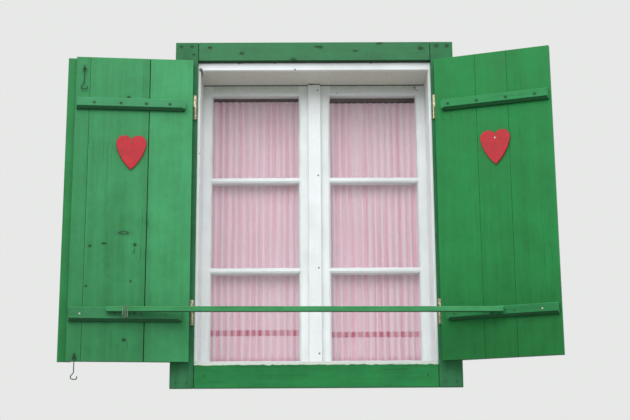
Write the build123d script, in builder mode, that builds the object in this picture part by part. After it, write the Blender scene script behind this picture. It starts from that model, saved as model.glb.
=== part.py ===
"""Pair of ledged window shutters with their casing, the lined reveal and the curtained casement behind.

The frame is +X to the right seen from the street, +Y into the wall and +Z up. The origin is the
middle of the sill board's back, so the plane Y = 0 is the face of the wall. Sizes are in millimetres.
"""

from build123d import *
import os
from math import cos, pi, radians, sin

# Opening between the casing boards
opening_width = 980.0
opening_height = 1283.0

# Casing boards, nailed on the face of the wall
casing_thickness = 22.0
post_width = 95.0
head_board_height = 82.0
sill_board_height = 97.0
casing_joint_gap = 2.0
casing_chamfer = 1.5

# Lining of the reveal; the shutters close against its front edges
reveal_depth = 190.0
side_lining_inset = 10.0
side_lining_thickness = 20.0
head_lining_drop = 35.0
head_lining_thickness = 40.0
sill_lining_rise = 11.0
sill_lining_thickness = 11.0
lining_chamfer = 1.5

# Shutters; rises are counted from their bottom edge and drops from their top edge
board_thickness = 22.0
shutter_proud = 0.5
hinge_side_gap = 4.0
centre_gap = 8.0
shutter_bottom_gap = 3.0
shutter_top_gap = 10.0
board_chamfer = 0.6
tongue_reach = 6.0
tongue_thickness = 6.0
groove_clearance = 0.2
left_open_shortfall = 5.7
right_open_shortfall = 19.4
left_hinge_joint = 178.0
left_hinge_joint_gap = 1.8
left_free_board_width = 58.0
right_hinge_joint = 174.0
right_free_board_width = 177.0
tight_joint_gap = 0.3

# Cover strip on the outer face of the left shutter
cover_strip_overlap = 20.0
cover_strip_projection = 35.0
cover_strip_thickness = 16.0
cover_strip_chamfer = 3.0

# Ledges, the cross battens on the inner face
ledge_thickness = 25.0
ledge_hinge_setback = 27.0
ledge_end_radius = 14.0
ledge_chamfer = 3.0
left_ledge_free_setback = 6.0
right_ledge_free_setback = 8.0
left_upper_ledge_height = 46.0
left_lower_ledge_height = 55.0
right_ledge_height = 44.0
left_upper_ledge_drop = 206.0
left_lower_ledge_rise = 185.0
right_upper_ledge_drop = 211.0
right_lower_ledge_rise = 180.0

# Hearts, cut from board and fixed on the inner face
heart_width = 123.0
heart_height = 146.0
heart_thickness = 9.0
heart_chamfer = 1.5
heart_reach = 248.0
heart_tip_drop = 485.0
heart_notch_share = 0.89
heart_lobe_share = 0.5
heart_shoulder_share = 0.74
heart_bow = (0.66, 0.345)
heart_lobe_steps = 8
heart_side_steps = 5

# Nails and screws; small round pieces have flat facets
fastener_sides = 8
nail_shank_width = 3.0
nail_head_radius = 3.6
nail_head_height = 1.0
nail_length = 36.0
casing_nail_length = 21.0
casing_nail_inset = 22.0
left_nail_reaches = (94.0, 190.0, 294.0)
left_upper_last_nail_setback = 79.0
left_lower_last_nail_setback = 50.0
right_nail_reaches = (60.0, 181.0, 302.0)
right_upper_last_nail_setback = 62.0
right_lower_last_nail_setback = 71.0
heart_nail_drop = 34.0
heart_nail_length = 24.0

# Lift-off hinges; shutter hinges and smaller ones for the sashes
hinge_height = 103.0
hinge_knuckle_radius = 5.5
hinge_pin_radius = 3.0
hinge_leaf_width = 34.0
hinge_leaf_thickness = 2.5
hinge_axis_outset = 8.0
hinge_axis_forward = 6.0
hinge_upper_drop = 200.0
hinge_lower_rise = 203.0
sash_hinge_height = 70.0
sash_hinge_knuckle_radius = 4.5
sash_hinge_pin_radius = 2.5
sash_hinge_leaf_width = 26.0
sash_hinge_leaf_thickness = 2.0
sash_hinge_inset = 200.0
knuckle_gap = 0.4
pin_clearance = 0.05
pin_end_gap = 2.0
screw_radius = 2.0
screw_head_radius = 3.8
screw_head_land = 0.2
screw_length = 18.0
screw_clearance = 0.1
screws_per_leaf = 2
knuckle_sides = 12

# Cabin hooks and their screw eyes on the left shutter
hook_setback = 34.0
upper_eye_drop = 49.0
lower_eye_rise = 22.0
eye_ring_radius = 8.0
eye_wire_radius = 2.2
eye_shank_depth = 16.0
eye_shank_radius = 1.7
hook_ring_radius = 6.5
hook_wire_radius = 2.0
hook_length = 95.0
hook_bend_width = 26.0
hook_bend_height = 12.0
hook_bend_cut = 4.0
link_clearance = 0.3
ring_sides = 12

# Holding bar across both open shutters, its pegs and the wire loop round it
bar_height = 21.0
bar_thickness = 20.0
bar_chamfer = 1.5
bar_left_reach = 324.0
bar_right_reach = 255.5
bar_left_rise = 202.0
bar_right_rise = 185.0
bar_seat_gap = 0.3
peg_radius = 3.0
peg_bar_hold = 12.0
peg_wood_depth = 18.0
left_peg_reach = 217.0
right_peg_reach = 212.0
wire_radius = 1.4
wire_loop_station = 64.0
wire_loop_width = 22.0
wire_loop_turns = 2
wire_loop_hang = 28.0
wire_loop_corner_cut = 2.5
wire_front_gap = 2.0
wire_back_gap = 0.6

# Window frame behind the reveal
frame_width = 45.0
sash_gap = 3.0
sash_cover = 7.0
sash_setback = 1.5
mullion_face_width = 54.0
mullion_face_thickness = 16.0
mullion_cover = 6.0
mullion_nail_rises = (57.0, 419.0)
mullion_nail_drops = (414.0, 30.0)
mullion_nail_offset = 15.0

# Sashes
sash_thickness = 40.0
stile_width = 47.0
top_rail_height = 55.0
bottom_rail_height = 37.0
glazing_bar_height = 26.0
pane_count = 3
glass_thickness = 3.0
glass_rebate_width = 9.0
glass_rebate_depth = 14.0
glass_edge_gap = 1.0

# Curtains, tacked on a batten at the back of each sash
batten_height = 25.0
batten_thickness = 8.0
batten_side_lap = 10.0
left_batten_drop = 5.0
right_batten_drop = 12.0
curtain_thickness = 1.6
curtain_fold_pitch = 28.0
curtain_fold_depth = 8.0
curtain_steps_per_fold = 6
curtain_side_lap = 8.0
curtain_below_glass = 22.0
curtain_gap = 0.3

# Turn button on the room side of the mullion
button_length = 70.0
button_width = 14.0
button_thickness = 6.0
button_gap = 0.5
button_rise = 659.0
button_bore_clearance = 0.05
button_screw_head_radius = 4.5
button_screw_head_height = 2.0
button_screw_depth = 18.0

# Casing and lining
casing_bottom = -sill_board_height / 2
opening_bottom = casing_bottom + sill_board_height
opening_top = opening_bottom + opening_height
casing_top = opening_top + head_board_height
half_opening = opening_width / 2
soffit = opening_top - head_lining_drop
sill_lining_top = opening_bottom + sill_lining_rise
lining_face = half_opening - side_lining_inset

# Shutters and their hinge axes
hinge_axis_x = half_opening + hinge_axis_outset
hinge_axis_y = -casing_thickness - hinge_axis_forward
edge_reach = hinge_axis_outset + hinge_side_gap
shutter_width = half_opening - hinge_side_gap - centre_gap / 2
left_free_joint = shutter_width - left_free_board_width
right_free_joint = shutter_width - right_free_board_width
hook_reach = shutter_width - hook_setback
shutter_bottom = opening_bottom + shutter_bottom_gap
shutter_top = opening_top - shutter_top_gap
shutter_height = shutter_top - shutter_bottom
outer_offset = hinge_axis_forward - shutter_proud
inner_offset = outer_offset + board_thickness
ledge_offset = inner_offset + ledge_thickness

# Window
sash_front = reveal_depth + sash_setback
sash_back = sash_front + sash_thickness
sash_outer_edge = lining_face + sash_cover
jamb_face = sash_outer_edge + sash_gap
sash_bottom = sill_lining_top - sash_cover
sash_top = soffit + sash_cover
frame_opening_bottom = sash_bottom - sash_gap
frame_opening_top = sash_top + sash_gap
sash_meeting_edge = mullion_face_width / 2 - mullion_cover
mullion_web_half = sash_meeting_edge - sash_gap
glass_outer = sash_outer_edge - stile_width
glass_inner = sash_meeting_edge + stile_width
glass_bottom = sash_bottom + bottom_rail_height
glass_top = sash_top - top_rail_height
pane_width = glass_outer - glass_inner
pane_height = (glass_top - glass_bottom - (pane_count - 1) * glazing_bar_height) / pane_count
pane_pitch = pane_height + glazing_bar_height
sash_axis_x = (sash_outer_edge + jamb_face) / 2
sash_axis_y = sash_back + sash_hinge_knuckle_radius + sash_hinge_leaf_thickness / 4

LEFT = -1
RIGHT = 1
SHORTFALL = {LEFT: radians(left_open_shortfall), RIGHT: radians(right_open_shortfall)}
NAME = {LEFT: "left", RIGHT: "right"}

os.makedirs("parts", exist_ok=True)


def save(part, label):
    """Label a finished piece and write it."""
    part.label = label
    export_step(part, f"parts/{label}.step")


def save_group(pieces, label):
    """Write separate pieces of one kind as one node."""
    with BuildPart() as group:
        add(pieces)
    save(group.part, label)


def face_plane(side, offset):
    """Plane parallel to an open shutter, offset from its hinge axis towards the street.

    Local x runs along the width in the +X sense, local y is up.
    """
    angle = SHORTFALL[side]
    normal = Vector(-side * sin(angle), -cos(angle), 0)
    axis_point = Vector(side * hinge_axis_x, hinge_axis_y, 0)
    along = (cos(angle), -side * sin(angle), 0)
    return Plane(origin=axis_point + normal * offset, x_dir=along, z_dir=normal)


def reach_x(side, reach):
    """Local x on a face plane of a point that lies `reach` from the hinge-side edge of the boards."""
    return side * (edge_reach + reach)


def low_z(rise):
    """Z of a rise above the shutters' bottom edge."""
    return shutter_bottom + rise


def high_z(drop):
    """Z of a drop below the shutters' top edge."""
    return shutter_top - drop


def front_edges(part, plane):
    """Edges round the face of a piece that lies furthest along a plane's normal."""
    return part.faces().sort_by(Axis(plane.origin, plane.z_dir))[-1].edges()


# Casing


def casing_board(label, x_low, x_high, z_low, z_high):
    """Board on the wall's face, its front arrises eased."""
    wall = Plane.XZ
    with BuildPart() as board:
        with BuildSketch(wall):
            with Locations(((x_low + x_high) / 2, (z_low + z_high) / 2)):
                Rectangle(x_high - x_low, z_high - z_low)
        extrude(amount=casing_thickness)
        chamfer(front_edges(board, wall), casing_chamfer)
    save(board.part, label)


def build_casing():
    """Two posts that run the full height, with the head and sill boards between them."""
    post_outer = half_opening + post_width
    board_half = half_opening - casing_joint_gap
    casing_board("casing_left_post", -post_outer, -half_opening, casing_bottom, casing_top)
    casing_board("casing_right_post", half_opening, post_outer, casing_bottom, casing_top)
    casing_board("casing_head_board", -board_half, board_half, opening_top, casing_top)
    casing_board("casing_sill_board", -board_half, board_half, casing_bottom, opening_bottom)


# Reveal lining


def lining_board(label, x_low, x_high, z_low, z_high, seen_edge):
    """Board through the depth of the wall; `seen_edge` picks its eased front arris."""
    with BuildPart() as board:
        with BuildSketch(Plane.XZ):
            with Locations(((x_low + x_high) / 2, (z_low + z_high) / 2)):
                Rectangle(x_high - x_low, z_high - z_low)
        extrude(amount=-reveal_depth)
        front = board.faces().sort_by(Axis.Y)[0]
        chamfer(seen_edge(front.edges()), lining_chamfer)
    save(board.part, label)


def build_lining():
    """Head, side and sill boards of the reveal."""
    side_back = lining_face + side_lining_thickness
    lining_board(
        "reveal_head_lining", -side_back, side_back, soffit, soffit + head_lining_thickness,
        lambda edges: edges.sort_by(Axis.Z)[0],
    )
    lining_board(
        "reveal_sill_lining", -side_back, side_back,
        sill_lining_top - sill_lining_thickness, sill_lining_top,
        lambda edges: edges.sort_by(Axis.Z)[-1],
    )
    lining_board(
        "reveal_left_lining", -side_back, -lining_face, sill_lining_top, soffit,
        lambda edges: edges.sort_by(Axis.X)[-1],
    )
    lining_board(
        "reveal_right_lining", lining_face, side_back, sill_lining_top, soffit,
        lambda edges: edges.sort_by(Axis.X)[0],
    )


# Shutters


def upright_strip(side, near, far, thickness):
    """Strip of the shutters' full height between two reaches, in the middle of the boards' thickness."""
    plane = face_plane(side, outer_offset + (board_thickness - thickness) / 2)
    with BuildPart() as strip:
        with BuildSketch(plane):
            with Locations((reach_x(side, (near + far) / 2), (shutter_bottom + shutter_top) / 2)):
                Rectangle(far - near, shutter_height)
        extrude(amount=thickness)
    return strip.part


def shutter_board(side, label, near, far, tongues=None, groove=None):
    """One upright board between two reaches; `tongues` and `groove` are spans of reaches too."""
    plane = face_plane(side, outer_offset)
    with BuildPart() as board:
        add(upright_strip(side, near, far, board_thickness))
        chamfer(front_edges(board, plane), board_chamfer)
        if tongues:
            add(upright_strip(side, *tongues, tongue_thickness))
        if groove:
            add(upright_strip(side, *groove, tongue_thickness + 2 * groove_clearance), mode=Mode.SUBTRACT)
    save(board.part, label)


def build_boards(side, hinge_joint, hinge_gap, free_joint, free_gap):
    """Three boards from the hinge side to the free edge; the middle one has tongues on both its edges."""
    hinge_tip = hinge_joint - tongue_reach
    free_tip = free_joint + tongue_reach
    near = hinge_joint + hinge_gap / 2
    far = free_joint - free_gap / 2
    shutter_board(
        side, f"{NAME[side]}_hinge_board", 0, hinge_joint - hinge_gap / 2,
        groove=(hinge_tip - groove_clearance, hinge_joint),
    )
    shutter_board(side, f"{NAME[side]}_middle_board", near, far, tongues=(hinge_tip, free_tip))
    shutter_board(
        side, f"{NAME[side]}_free_board", free_joint + free_gap / 2, shutter_width,
        groove=(free_joint, free_tip + groove_clearance),
    )


def build_cover_strip():
    """Strip on the left shutter's outer face that laps over the right shutter when both are closed."""
    plane = face_plane(LEFT, outer_offset)
    near = shutter_width - cover_strip_overlap
    far = shutter_width + cover_strip_projection
    with BuildPart() as strip:
        with BuildSketch(plane):
            with Locations((reach_x(LEFT, (near + far) / 2), (shutter_bottom + shutter_top) / 2)):
                Rectangle(far - near, shutter_height)
        extrude(amount=-cover_strip_thickness)
        outer_face = strip.faces().sort_by(Axis(plane.origin, plane.z_dir))[0]
        chamfer(outer_face.edges().filter_by(Axis.Z), cover_strip_chamfer)
    save(strip.part, "left_cover_strip")


def build_ledge(side, label, centre_z, height, free_setback):
    """Cross batten with a rounded end towards the hinges and eased front arrises."""
    plane = face_plane(side, inner_offset)
    far = shutter_width - free_setback
    with BuildPart() as ledge:
        with BuildSketch(plane) as outline:
            with Locations((reach_x(side, (ledge_hinge_setback + far) / 2), centre_z)):
                Rectangle(far - ledge_hinge_setback, height)
            corners = outline.vertices().sort_by(Axis.X)
            fillet(corners[-2:] if side == LEFT else corners[:2], ledge_end_radius)
        extrude(amount=ledge_thickness)
        chamfer(front_edges(ledge, plane), ledge_chamfer)
    save(ledge.part, label)


def heart_points():
    """Outline of a heart with its tip at the origin: two lobes and two bowed sides, in short steps."""
    def at(across, up):
        return (across * heart_width / 2, up * heart_height)

    shoulder = at(1, heart_shoulder_share)
    lobe = ThreePointArc(at(0, heart_notch_share), at(heart_lobe_share, 1), shoulder)
    bowed = ThreePointArc(shoulder, at(*heart_bow), at(0, 0))
    right = [lobe @ (i / heart_lobe_steps) for i in range(heart_lobe_steps)]
    right += [bowed @ (i / heart_side_steps) for i in range(heart_side_steps + 1)]
    left = [(-point.X, point.Y) for point in reversed(right[1:-1])]
    return [(point.X, point.Y) for point in right] + left


def build_heart(side):
    """Heart cut from board, with its front arris eased."""
    plane = face_plane(side, inner_offset)
    middle = reach_x(side, heart_reach)
    tip = high_z(heart_tip_drop)
    outline = [(middle + x, tip + z) for x, z in heart_points()]
    with BuildPart() as heart:
        with BuildSketch(plane):
            with BuildLine():
                Polyline(*outline, close=True)
            make_face()
        extrude(amount=heart_thickness)
        chamfer(front_edges(heart, plane), heart_chamfer)
    save(heart.part, f"{NAME[side]}_heart")


def driven_nails(plane, points, length):
    """Cut nails driven square to a plane: a flat head on it and a square shank below."""
    with BuildPart() as nails:
        with BuildSketch(plane):
            with Locations(*points):
                RegularPolygon(nail_head_radius, fastener_sides)
        extrude(amount=nail_head_height)
        with BuildSketch(plane):
            with Locations(*points):
                Rectangle(nail_shank_width, nail_shank_width)
        extrude(amount=-length)
    return nails.part


# Lift-off hinges

SHUTTER_HINGE = {
    "height": hinge_height,
    "knuckle": hinge_knuckle_radius,
    "pin": hinge_pin_radius,
    "leaf": hinge_leaf_width,
    "thickness": hinge_leaf_thickness,
}
SASH_HINGE = {
    "height": sash_hinge_height,
    "knuckle": sash_hinge_knuckle_radius,
    "pin": sash_hinge_pin_radius,
    "leaf": sash_hinge_leaf_width,
    "thickness": sash_hinge_leaf_thickness,
}


def leaf_screw_planes(sizes, centre, leaf_dir, seat, upper):
    """Planes at the screw places of a leaf, on its open face, their normals pointing out of it.

    `seat` is the vector from the hinge axis square to the wood that the leaf is screwed to.
    """
    out_of_wood = -seat.normalized()
    face = seat + out_of_wood * sizes["thickness"]
    half = sizes["height"] / 2
    middle = half / 2 if upper else -half / 2
    spacing = half / screws_per_leaf
    first = middle - spacing * (screws_per_leaf - 1) / 2
    along = (sizes["knuckle"] + sizes["leaf"]) / 2
    return [
        Plane(
            origin=centre + leaf_dir * along + face + Vector(0, 0, first + spacing * i),
            z_dir=out_of_wood,
        )
        for i in range(screws_per_leaf)
    ]


def screw_form(place, growth, length):
    """Countersunk screw from a plane at its head's top, or its hole where `growth` is a clearance."""
    cone_height = (screw_head_radius - screw_radius) * cos(pi / fastener_sides)
    with BuildPart() as form:
        with BuildSketch(place):
            RegularPolygon(screw_head_radius + growth, fastener_sides)
        extrude(amount=-cone_height - screw_head_land)
        under_rim = form.faces().sort_by(Axis(place.origin, place.z_dir))[0].edges()
        chamfer(under_rim, cone_height)
        with BuildSketch(place):
            RegularPolygon(screw_radius + growth, fastener_sides)
        extrude(amount=-length)
    return form.part


def hinge_half(sizes, centre, leaf_dir, seat, upper):
    """One half of a lift-off hinge: a leaf and its knuckle, with the pin below and the bore above."""
    half = sizes["height"] / 2
    start = knuckle_gap / 2 if upper else -half
    length = half - knuckle_gap / 2
    base = Plane(origin=centre + Vector(0, 0, start), x_dir=leaf_dir, z_dir=(0, 0, 1))
    seat_side = seat.dot(base.y_dir)
    leaf_middle = seat_side - (sizes["thickness"] / 2 if seat_side > 0 else -sizes["thickness"] / 2)
    with BuildPart() as half_hinge:
        with BuildSketch(base):
            RegularPolygon(sizes["knuckle"], knuckle_sides)
            with Locations((sizes["leaf"] / 2, leaf_middle)):
                Rectangle(sizes["leaf"], sizes["thickness"])
        extrude(amount=length)
        if upper:
            with BuildSketch(base):
                Circle(sizes["pin"] + pin_clearance)
            extrude(amount=length - sizes["knuckle"], mode=Mode.SUBTRACT)
        else:
            with BuildSketch(base.offset(length)):
                Circle(sizes["pin"])
            extrude(amount=length - sizes["knuckle"] + knuckle_gap - pin_end_gap)
        for place in leaf_screw_planes(sizes, centre, leaf_dir, seat, upper):
            add(screw_form(place, screw_clearance, 2 * sizes["thickness"]), mode=Mode.SUBTRACT)
    return half_hinge.part


def leaf_screws(sizes, centre, leaf_dir, seat, upper):
    """Countersunk screws that hold one leaf."""
    places = leaf_screw_planes(sizes, centre, leaf_dir, seat, upper)
    with BuildPart() as screws:
        for place in places:
            add(screw_form(place, 0, screw_length))
    return screws.part


def shutter_hinge_centres(side):
    """Middle of each shutter hinge on its axis."""
    heights = (low_z(hinge_lower_rise), high_z(hinge_upper_drop))
    return [Vector(side * hinge_axis_x, hinge_axis_y, z) for z in heights]


def sash_hinge_centres(side):
    """Middle of each sash hinge on its axis."""
    heights = (sash_bottom + sash_hinge_inset, sash_top - sash_hinge_inset)
    return [Vector(side * sash_axis_x, sash_axis_y, z) for z in heights]


def frame_leaves():
    """Every leaf fixed to the casing or the window frame."""
    for side in (LEFT, RIGHT):
        outward = Vector(side, 0, 0)
        for centre in shutter_hinge_centres(side):
            yield SHUTTER_HINGE, centre, outward, Vector(0, hinge_axis_forward, 0), False
        for centre in sash_hinge_centres(side):
            yield SASH_HINGE, centre, outward, Vector(0, sash_back - sash_axis_y, 0), False


def shutter_leaves(side):
    """The leaves on one shutter's outer face."""
    plane = face_plane(side, 0)
    for centre in shutter_hinge_centres(side):
        yield SHUTTER_HINGE, centre, plane.x_dir * side, plane.z_dir * outer_offset, True


def sash_leaves(side):
    """The leaves on the room side of one sash."""
    for centre in sash_hinge_centres(side):
        yield SASH_HINGE, centre, Vector(-side, 0, 0), Vector(0, sash_back - sash_axis_y, 0), True


def build_hinge_halves(label, leaves):
    """One node of hinge halves."""
    save_group([hinge_half(*leaf) for leaf in leaves], label)


# Cabin hooks

eye_offset = inner_offset + eye_ring_radius + eye_wire_radius
hook_ring_drop = eye_ring_radius - eye_wire_radius - hook_wire_radius - link_clearance + hook_ring_radius


def wire_ring(centre, normal, radius, wire_radius):
    """Closed ring of wire, faceted: a many-sided washer with its arrises taken off."""
    half = wire_radius * cos(pi / fastener_sides)
    plane = Plane(origin=centre, z_dir=normal).offset(-half)
    with BuildPart() as ring:
        with BuildSketch(plane):
            RegularPolygon(radius + half, ring_sides)
            RegularPolygon(radius - half, ring_sides, major_radius=False, mode=Mode.SUBTRACT)
        extrude(amount=2 * half)
        rims = ring.edges().filter_by(Axis(centre, normal), reverse=True)
        chamfer(rims, half * (2 - 2 ** 0.5))
    return ring.part


def bent_wire(points, corner_cut, wire_radius):
    """Wire along a run of points, each corner taken in two bends."""
    path_points = [points[0]]
    for before, corner, after in zip(points, points[1:], points[2:]):
        path_points.append(corner + (before - corner).normalized() * corner_cut)
        path_points.append(corner + (after - corner).normalized() * corner_cut)
    path_points.append(points[-1])
    with BuildPart() as wire:
        with BuildLine() as path:
            Polyline(*path_points)
        with BuildSketch(Plane(origin=path.line @ 0, z_dir=path.line % 0)):
            RegularPolygon(wire_radius, fastener_sides)
        sweep(path=path.line, transition=Transition.RIGHT)
    return wire.part


def build_hook_eyes():
    """Two screw eyes near the free edge of the left shutter, their rings upright and square to it."""
    with BuildPart() as eyes:
        for z in (low_z(lower_eye_rise), high_z(upper_eye_drop)):
            plane = face_plane(LEFT, inner_offset)
            place = (reach_x(LEFT, hook_reach), z)
            ring_centre = face_plane(LEFT, eye_offset).from_local_coords((place[0], place[1], 0))
            with BuildSketch(plane.offset(-eye_shank_depth)):
                with Locations(place):
                    RegularPolygon(eye_shank_radius, fastener_sides)
            extrude(amount=eye_shank_depth + eye_wire_radius)
            add(wire_ring(ring_centre, plane.x_dir, eye_ring_radius, eye_wire_radius))
    save(eyes.part, "left_hook_eyes")


def build_hook(label, eye_z):
    """Hook that hangs by its ring in a screw eye, with a bent end that lies in the shutter's plane."""
    plane = face_plane(LEFT, eye_offset)
    x = reach_x(LEFT, hook_reach)
    ring_z = eye_z - hook_ring_drop
    end_z = eye_z - hook_length
    bend_top = end_z + hook_bend_height
    run = (
        (x, ring_z - hook_ring_radius),
        (x, bend_top + hook_bend_height),
        (x - hook_bend_width / 2, bend_top),
        (x - hook_bend_width / 3, end_z),
        (x + hook_bend_width / 2, end_z),
        (x + hook_bend_width / 2, bend_top),
    )
    rod_points = [plane.from_local_coords((u, v, 0)) for u, v in run]
    ring_centre = plane.from_local_coords((x, ring_z, 0))
    with BuildPart() as hook:
        add(wire_ring(ring_centre, plane.z_dir, hook_ring_radius, hook_wire_radius))
        add(bent_wire(rod_points, hook_bend_cut, hook_wire_radius))
    save(hook.part, label)


# Holding bar


def ledge_point(side, reach, offset):
    """Point in plan over a shutter, `reach` from the hinge-side edge."""
    return face_plane(side, offset).from_local_coords((reach_x(side, reach), 0, 0))


def bar_frame():
    """Plane at the middle of the bar's left end, x along the bar and z up square to it, and its length."""
    left_back = ledge_point(LEFT, bar_left_reach, ledge_offset)
    right_back = ledge_point(RIGHT, bar_right_reach, ledge_offset)
    left_end = Vector(left_back.X, left_back.Y - bar_seat_gap, low_z(bar_left_rise))
    right_end = Vector(right_back.X, right_back.Y - bar_seat_gap, low_z(bar_right_rise))
    along = right_end - left_end
    level = Vector(along.X, along.Y, 0).normalized()
    back = Vector(-level.Y, level.X, 0)
    upward = along.normalized().cross(back)
    middle = left_end - back * bar_thickness / 2
    return Plane(origin=middle, x_dir=along.normalized(), z_dir=upward), along.length


def bar_middle(x):
    """Point on the bar's middle line at a given X."""
    frame, _ = bar_frame()
    return frame.origin + frame.x_dir * ((x - frame.origin.X) / frame.x_dir.X)


def build_bar():
    """Square-edged bar that lies in front of both lower ledges."""
    frame, length = bar_frame()
    with BuildPart() as bar:
        with BuildSketch(Plane(origin=frame.origin, x_dir=frame.y_dir, z_dir=frame.x_dir)):
            Rectangle(bar_thickness, bar_height)
        extrude(amount=length)
        chamfer(bar.edges().filter_by(Axis(frame.origin, frame.x_dir)), bar_chamfer)
    save(bar.part, "holding_bar")


def build_peg(side, reach, label):
    """Peg in a lower ledge that carries the bar; it reaches part of the way under it."""
    plane = face_plane(side, ledge_offset)
    seat = ledge_point(side, reach, ledge_offset)
    over = bar_middle(seat.X)
    length = seat.Y - over.Y - bar_thickness / 2 + peg_bar_hold
    centre_z = over.Z - bar_height / 2 - 2 * bar_seat_gap - peg_radius
    with BuildPart() as peg:
        with BuildSketch(plane.offset(-peg_wood_depth)):
            with Locations((reach_x(side, reach), centre_z)):
                RegularPolygon(peg_radius, ring_sides)
        extrude(amount=peg_wood_depth + length)
    save(peg.part, label)


def build_wire_loop():
    """Wire wound round the bar in hanging turns, beside the left peg."""
    frame, _ = bar_frame()
    front = -bar_thickness / 2 - wire_front_gap - wire_radius
    back = bar_thickness / 2 + wire_back_gap + wire_radius
    top = bar_height / 2 + bar_seat_gap + wire_radius
    bottom = -bar_height / 2 - wire_loop_hang
    corners = ((front, bottom), (front, top), (back, top), (back, bottom))
    steps = 4 * wire_loop_turns
    points = []
    for i in range(steps + 2):
        across, up = corners[i % 4]
        x = wire_loop_station + wire_loop_width * (i / (steps + 1))
        points.append(frame.from_local_coords((x, across, up)))
    save(bent_wire(points, wire_loop_corner_cut, wire_radius), "wire_loop")


# Window frame


def frame_member(label, x_low, x_high, z_low, z_high):
    """Square member of the fixed frame."""
    with BuildPart() as member:
        with BuildSketch(Plane.XZ.offset(-reveal_depth)):
            with Locations(((x_low + x_high) / 2, (z_low + z_high) / 2)):
                Rectangle(x_high - x_low, z_high - z_low)
        extrude(amount=-(sash_back - reveal_depth))
    save(member.part, label)


def build_window_frame():
    """Head and sill across the full width, the jambs between them and a T-shaped mullion."""
    outer = jamb_face + frame_width
    head_top = frame_opening_top + frame_width
    sill_bottom = frame_opening_bottom - frame_width
    frame_member("window_frame_head", -outer, outer, frame_opening_top, head_top)
    frame_member("window_frame_sill", -outer, outer, sill_bottom, frame_opening_bottom)
    frame_member("window_frame_left_jamb", -outer, -jamb_face, frame_opening_bottom, frame_opening_top)
    frame_member("window_frame_right_jamb", jamb_face, outer, frame_opening_bottom, frame_opening_top)
    face_half = mullion_face_width / 2
    face_front = reveal_depth - mullion_face_thickness
    with BuildPart() as mullion:
        with BuildSketch(Plane.XY.offset(sill_lining_top)):
            with Locations((0, (face_front + reveal_depth) / 2)):
                Rectangle(2 * face_half, mullion_face_thickness)
        extrude(amount=soffit - sill_lining_top)
        chamfer(mullion.faces().sort_by(Axis.Y)[0].edges().filter_by(Axis.Z), lining_chamfer)
        with BuildSketch(Plane.XY.offset(frame_opening_bottom)):
            with Locations((0, (reveal_depth + sash_back) / 2)):
                Rectangle(2 * mullion_web_half, sash_back - reveal_depth)
        extrude(amount=frame_opening_top - frame_opening_bottom)
    save(mullion.part, "window_mullion")


def frame_nail_points():
    """Nail places on the casing's face: near the ends of every board, and midway on the posts."""
    post_x = half_opening + post_width / 2
    post_heights = (
        casing_top - casing_nail_inset,
        (opening_bottom + opening_top) / 2,
        casing_bottom + casing_nail_inset,
    )
    board_half = half_opening - 2 * casing_nail_inset
    points = []
    for side in (LEFT, RIGHT):
        points += [(side * (post_x + casing_nail_inset), z) for z in post_heights]
        points += [(side * (post_x - casing_nail_inset), z) for z in post_heights]
        points += [(side * board_half, opening_top + head_board_height / 2 + casing_nail_inset)]
        points += [(side * board_half, opening_bottom - sill_board_height / 2)]
    return points


def build_frame_nails():
    """Nails of the casing boards and of the mullion's face."""
    mullion_face = Plane.XZ.offset(-(reveal_depth - mullion_face_thickness))
    mullion_points = [(mullion_nail_offset, sill_lining_top + rise) for rise in mullion_nail_rises]
    mullion_points += [(mullion_nail_offset, soffit - drop) for drop in mullion_nail_drops]
    casing_nails = driven_nails(Plane.XZ.offset(casing_thickness), frame_nail_points(), casing_nail_length)
    mullion_nails = driven_nails(mullion_face, mullion_points, nail_length)
    save_group([casing_nails, mullion_nails], "frame_nails")


def build_frame_screws():
    """Screws of every leaf on the frame, and the one that the turn button pivots on."""
    button_back = sash_back + button_gap + button_thickness
    pivot = Plane(origin=(0, button_back + button_gap, sash_bottom + button_rise), z_dir=(0, 1, 0))
    with BuildPart() as button_screw:
        with BuildSketch(pivot):
            RegularPolygon(button_screw_head_radius, ring_sides)
        extrude(amount=button_screw_head_height)
        with BuildSketch(pivot):
            Circle(screw_radius)
        extrude(amount=-(button_thickness + 2 * button_gap + button_screw_depth))
    save_group([leaf_screws(*leaf) for leaf in frame_leaves()] + [button_screw.part], "frame_screws")


def build_turn_button():
    """Double-ended button that turns over both meeting stiles; it stands upright, unlocked."""
    middle = (0, sash_back + button_gap, sash_bottom + button_rise)
    plane = Plane(origin=middle, x_dir=(0, 0, 1), z_dir=(0, 1, 0))
    with BuildPart() as button:
        with BuildSketch(plane):
            Rectangle(button_length, button_width)
            Circle(screw_radius + button_bore_clearance, mode=Mode.SUBTRACT)
        extrude(amount=button_thickness)
        chamfer(button.edges().filter_by(Axis.Y).filter_by(GeomType.LINE), button_width / 3)
        rim = button.faces().sort_by(Axis.Y)[-1].outer_wire().edges()
        chamfer(rim, button_thickness / 4)
    save(button.part, "turn_button")


# Sashes


def pane_centres(side):
    """Middle of each pane at the depth of the glazing rebate."""
    x = side * (glass_inner + glass_outer) / 2
    y = sash_front + glass_rebate_depth / 2
    first = glass_bottom + pane_height / 2
    return [(x, y, first + pane_pitch * i) for i in range(pane_count)]


def build_sash_members(side, kind, spans):
    """Members of a sash, each an X and a Z span, with the rebates for the panes cut on the street side."""
    with BuildPart() as members:
        for x_low, x_high, z_low, z_high in spans:
            with BuildSketch(Plane.XY.offset(z_low)):
                with Locations((side * (x_low + x_high) / 2, (sash_front + sash_back) / 2)):
                    Rectangle(x_high - x_low, sash_thickness)
            extrude(amount=z_high - z_low)
        with Locations(*pane_centres(side)):
            Box(
                pane_width + 2 * glass_rebate_width,
                glass_rebate_depth,
                pane_height + 2 * glass_rebate_width,
                mode=Mode.SUBTRACT,
            )
    save(members.part, f"{NAME[side]}_sash_{kind}")


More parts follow.
